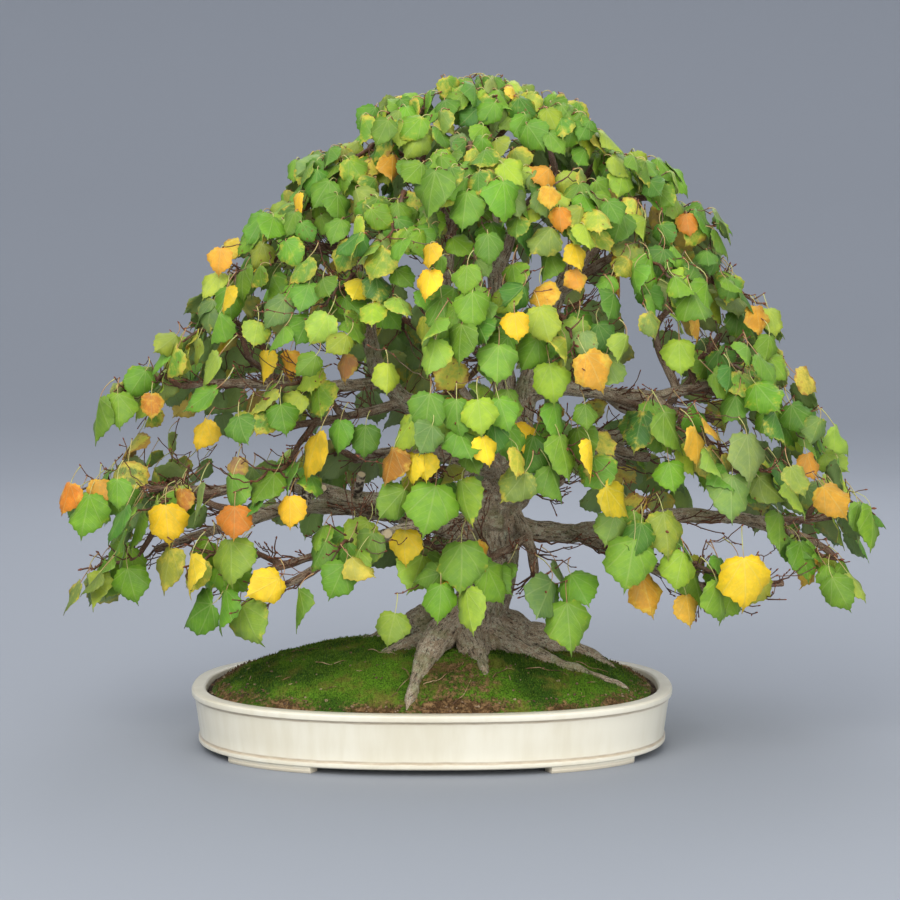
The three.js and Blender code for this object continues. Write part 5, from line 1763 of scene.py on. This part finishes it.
def make_moss():
    bm = bmesh.new()

    def ring(share):
        def move(angle):
            x, y = oval(angle, MOSS_INSET, share)
            return place(x, y, ground(x, y))
        return move

    def skirt(angle):
        return place(*oval(angle, MOSS_INSET), EDGE_LEVEL - 3.4)

    loop = Loop(bm, MOSS_SEGMENTS, skirt)
    loop.fill()
    for i in range(MOSS_RINGS):
        loop.extrude(ring(1 - (i / MOSS_RINGS) ** 1.15))
    loop.fill()
    bmesh.ops.recalc_face_normals(bm, faces=bm.faces)
    return as_mesh("moss_carpet", bm)


# %% Moss pile
random.seed(41)
TUFTS = 17000
TUFT_HEIGHT = (2.2, 4.4)


def make_tuft():
    bm = bmesh.new()
    bmesh.ops.create_cone(bm, segments=3, radius1=1, radius2=0, depth=1)
    bmesh.ops.remove_doubles(bm, verts=bm.verts, dist=0.001)
    return as_mesh("tuft", bm)


def add_tufts(carpet):
    """Tiny leaning cones all over the moss, fewer where the ground is bare."""
    turns = []
    while len(turns) < TUFTS:
        x = random.uniform(-1, 1) * (POT_LENGTH / 2 - MOSS_INSET - 2)
        y = random.uniform(-1, 1) * (POT_DEPTH / 2 - MOSS_INSET - 2)
        if mound_share(x, y) > 0.985 or math.hypot(x - 42, y) < 30 or random.random() < bare_patch(x, y) * 0.85:
            continue
        tall = random.uniform(*TUFT_HEIGHT)
        lean = Vector((random.uniform(-0.5, 0.5), random.uniform(-0.5, 0.5), 1))
        turns.append(standing((x, y, ground(x, y) + tall * 0.32), lean, random.uniform(0.7, 1.2), tall))
    bm = bmesh.new()
    bm.from_mesh(carpet)
    bm.from_mesh(scattered("tufts", make_tuft(), turns))
    return as_mesh("moss_carpet", bm)


moss_mesh = add_tufts(make_moss())
moss_places = (vertices(moss_mesh) - np.array(POT_MIDDLE)) / MM
store(moss_mesh, "bare", "FLOAT", [bare_patch(x, y) for x, y, _ in moss_places])
store(moss_mesh, "tip", "FLOAT", [min(1, max(0, (z - ground(x, y)) / 2.2)) for x, y, z in moss_places])
print("moss:", len(moss_mesh.polygons), "faces")

# %% [markdown]
# ### Moss and soil finishes
#
# Moss is a bright yellow green at its tips, and the low depth of its pile, between the tufts, gets a painted
# shade of very dark green. Where it has died back, the fine brown planting mix shows between its cushions, and
# its low spots get a painted shade of dark brown.

# %% Moss finish
moss_finish = Finish("cushion_moss", Roughness=0.92, Specular_IOR_Level=0.2)
spot = moss_finish.where()
broad = moss_finish.noise(spot, 16, 3)
speckle = moss_finish.noise(spot, 180, 4, 0.65)
fuzz = moss_finish.noise(spot, 520, 3, 0.6)
tips = moss_finish.stored("tip")
bare = moss_finish.stored("bare")
moss_green = moss_finish.mix(srgb(58, 92, 18), srgb(98, 142, 30), broad.rise(0.38, 0.62))
moss_green = moss_finish.mix(moss_green, srgb(150, 180, 62), (speckle * 0.5 + tips * 0.45).rise(0.4, 0.8) * 0.8)
# Painted shade: the low depth of the pile, away from the tuft tips and where the fine bump sinks, is darkened to
# a very dark green.
moss_green = moss_finish.mix(moss_green, srgb(26, 42, 12), (1 - fuzz.rise(0.4, 0.54)) * (1 - tips * 0.8) * 0.7)
tired = moss_finish.noise(spot, 34, 4, 0.6).rise(0.5, 0.68)
tired_moss = moss_finish.mix(srgb(92, 84, 30), srgb(150, 132, 66), speckle)
moss_green = moss_finish.mix(moss_green, tired_moss, tired * 0.6)
earth = moss_finish.mix(srgb(84, 60, 36), srgb(154, 122, 82), speckle.rise(0.42, 0.68))
# Painted shade: where the fine bump sinks, the bare soil is darkened to a dark brown.
earth = moss_finish.mix(earth, srgb(34, 24, 16), (1 - fuzz.rise(0.36, 0.5)) * 0.7)
worn = (bare * 1.1 + (speckle - 0.5) * 1.4).rise(0.36, 0.76)
moss_finish.paint("Base Color", moss_finish.mix(moss_green, earth, worn))
moss_finish.bump(speckle * 0.7 + fuzz * 0.5, 0.9, 0.0022)
keep("moss_carpet", moss_mesh, moss_finish, "moss", "moss")
print("moss triangles:", triangle_counts["moss_carpet"])

# %% [markdown]
# ### The soil
#
# The planting mix fills the pot under the moss and shows as a dark strip inside the rim. Its own solid is
# right below the surface, so it keeps that shape and gets a gritty finish with painted shade in the gaps
# between its crumbs, and a low gritty collar closes the gap between the moss and the glaze.

# %% Soil
SOIL_INSET = 16.2


def make_soil_collar():
    bm = bmesh.new()

    def at(inset, level, rough):
        def move(angle):
            x, y = oval(angle, inset)
            bumps = rough * noise.noise(Vector((x, y, 2)) * 0.3)
            bumps += rough * 0.7 * noise.noise(Vector((x, y, 8)) * 0.9)
            return place(x, y, level + bumps)
        return move

    rings = [(26, 50, 0), (SOIL_INSET, 50, 0), (SOIL_INSET, 55.4, 0.8), (17.6, 57.2, 1.4), (19.4, 58.2, 1.4),
             (21.5, 58.6, 1.2), (26, 57, 0)]
    loop = Loop(bm, 260, at(*rings[0]))
    first = list(loop.angles)
    for row in rings[1:]:
        loop.extrude(at(*row))
    last = list(loop.angles)
    ends = {e for v in first for e in v.link_edges if e.is_boundary}
    ends |= {e for v in last for e in v.link_edges if e.is_boundary}
    bmesh.ops.bridge_loops(bm, edges=list(ends))
    bmesh.ops.recalc_face_normals(bm, faces=bm.faces)
    return as_mesh("soil_collar", bm)


soil_finish = Finish("planting_mix", Roughness=0.95, Specular_IOR_Level=0.2)
spot = soil_finish.where()
crumbs = soil_finish.cells(spot, 420)
tone = soil_finish.noise(spot, 130, 4, 0.6)
mix = soil_finish.mix(srgb(48, 34, 24), srgb(112, 88, 62), tone.rise(0.4, 0.68))
# Painted shade: the gaps between the crumbs, which the bump sinks, are painted near black.
soil_finish.paint("Base Color", soil_finish.mix(mix, srgb(24, 18, 13), crumbs.rise(0.45, 0.8)))
soil_finish.bump(crumbs * -1 + tone, 0.9, 0.0016)
bpy.data.objects["soil"].material_slots[0].material = soil_finish.material
keep("soil_collar", make_soil_collar(), soil_finish, "soil")

# %% [markdown]
# ### Litter on the ground
#
# Thread roots, snapped twigs and grit lie about on the moss. They are small, but without
# them the ground looks like a carpet.

# %% Litter
random.seed(47)
THREADS = [
    [(-30, -98), (-22, -116), (-34, -136)], [(-8, -128), (8, -122), (22, -108)],
    [(22, -150), (34, -138), (40, -122)],
    [(62, -118), (72, -104), (84, -96)], [(-66, -44), (-52, -56), (-36, -62)],
    [(96, -86), (120, -80), (140, -84)],
    [(-120, -60), (-102, -66), (-88, -64)], [(150, -40), (166, -46), (184, -42)],
    [(-150, 10), (-134, 2), (-120, 6)],
    [(118, 40), (130, 52), (146, 56)], [(-40, 96), (-20, 104), (-4, 98)], [(60, 118), (78, 112), (92, 118)],
]


def on_ground(x, y, lift):
    return Vector((x, y, ground(x, y) + lift))


def make_litter():
    litter = Thin("litter", 1)
    for thread in THREADS:
        route = smooth_route([(*on_ground(x, y, 1.3), 0.8) for x, y in thread], 5)
        litter.add([on_ground(spot.x, spot.y, 1.5 + 0.8 * math.sin(i)) for i, (spot, _) in enumerate(route)],
                   [mean(0.6, 0.25, i / len(route)) for i in range(len(route))])
    for _ in range(70):
        angle, share = random.uniform(0, 2 * math.pi), math.sqrt(random.uniform(0.12, 0.92))
        x, y = oval(angle, MOSS_INSET, share)
        way = random.uniform(0, 2 * math.pi)
        reach = random.uniform(3, 11)
        ends = [on_ground(x + reach * k * math.cos(way), y + reach * k * math.sin(way), 1.6)
                for k in (-0.5, 0, 0.5)]
        litter.add(ends, [0.35, random.uniform(0.4, 0.7), 0.3])
    return litter.mesh()


def make_stone():
    bm = bmesh.new()
    bmesh.ops.create_icosphere(bm, subdivisions=1, radius=1)
    for v in bm.verts:
        v.co *= 1 + 0.35 * noise.noise(v.co * 1.3)
    return as_mesh("stone", bm)


def make_grit():
    turns = []
    for _ in range(420):
        angle = random.uniform(0, 2 * math.pi)
        share = random.choice((math.sqrt(random.uniform(0.1, 1)), random.uniform(0.9, 1.0)))
        x, y = oval(angle, MOSS_INSET - 1, share)
        size = random.uniform(0.7, 2.0)
        way = Vector((random.uniform(-0.4, 0.4), random.uniform(-0.4, 0.4), 1))
        turns.append(standing((x, y, ground(x, y) + 0.3 * size), way, size, size * random.uniform(0.5, 0.9)))
    return scattered("grit", make_stone(), turns)


litter_finish = Finish("dry_litter", Roughness=0.85)
tone = litter_finish.noise(litter_finish.where(), 60, 3)
litter_finish.paint("Base Color", litter_finish.ramp(tone, [
    (0.38, srgb(88, 62, 42)), (0.5, srgb(150, 116, 80)), (0.62, srgb(186, 160, 124))]))
keep("litter", make_litter(), litter_finish, "bark")
grit_finish = Finish("grit", Roughness=0.9)
tone = grit_finish.noise(grit_finish.where(), 110, 2)
grit_finish.paint("Base Color", grit_finish.ramp(tone, [
    (0.35, srgb(60, 44, 32)), (0.5, srgb(118, 90, 64)), (0.66, srgb(168, 146, 118))]))
keep("grit", make_grit(), grit_finish, "soil", smooth=False)
print("litter and grit:", triangle_counts["litter"] + triangle_counts["grit"], "triangles")

# %% [markdown]
# ## The floor and the light
#
# A plain pale floor and large soft lamps show the object and nothing else.

# %% Floor
STUDIO_SIDES = 96
STUDIO_RINGS = [(0.6, 0), (3, 0), (3.8, 0.05), (4.5, 0.25), (5.1, 0.65), (5.5, 1.3), (5.7, 2.2), (5.75, 3.2)]


def make_studio():
    """A round floor that curves up into a low wall far from the object, so that no horizon shows."""
    bm = bmesh.new()

    def at(radius, z):
        return lambda angle: Vector((radius * math.cos(angle), radius * math.sin(angle), z))

    loop = Loop(bm, STUDIO_SIDES, at(*STUDIO_RINGS[0]))
    loop.fill()
    for radius, z in STUDIO_RINGS[1:]:
        loop.extrude(at(radius, z))
    bmesh.ops.recalc_face_normals(bm, faces=bm.faces)
    return as_mesh("studio_floor", bm)


floor = bpy.data.objects.new("studio_floor", make_studio())
bpy.context.scene.collection.objects.link(floor)
floor.data.shade_smooth()
floor_finish = Finish("floor_paint", Roughness=0.9, Base_Color=(0.315, 0.335, 0.375, 1))
floor.data.materials.append(floor_finish.material)

# %% Light
world = bpy.data.worlds.new("soft_room")
world.use_nodes = True
world.node_tree.nodes["Background"].inputs["Color"].default_value = (0.92, 0.95, 1.0, 1)
world.node_tree.nodes["Background"].inputs["Strength"].default_value = 1.05
bpy.context.scene.world = world
bpy.context.scene.view_settings.view_transform = "Standard"


def soft_lamp(name, spot, size, power, color):
    lamp = bpy.data.lights.new(name, "AREA")
    lamp.size = size
    lamp.energy = power
    lamp.color = color
    holder = bpy.data.objects.new(name, lamp)
    holder.location = spot
    aim = Vector((0, 0, 0.35)) - holder.location
    holder.rotation_euler = aim.to_track_quat("-Z", "Y").to_euler()
    bpy.context.scene.collection.objects.link(holder)


soft_lamp("key", (-0.9, -2.3, 2.0), 1.8, 48, (1.0, 0.985, 0.95))
soft_lamp("fill", (1.2, -2.5, 0.5), 2.0, 42, (1.0, 0.99, 0.97))
soft_lamp("back", (0.4, 2.2, 2.0), 1.8, 20, (1.0, 1.0, 1.0))

# %% Sizes and the end
print("triangles:", sum(triangle_counts.values()))
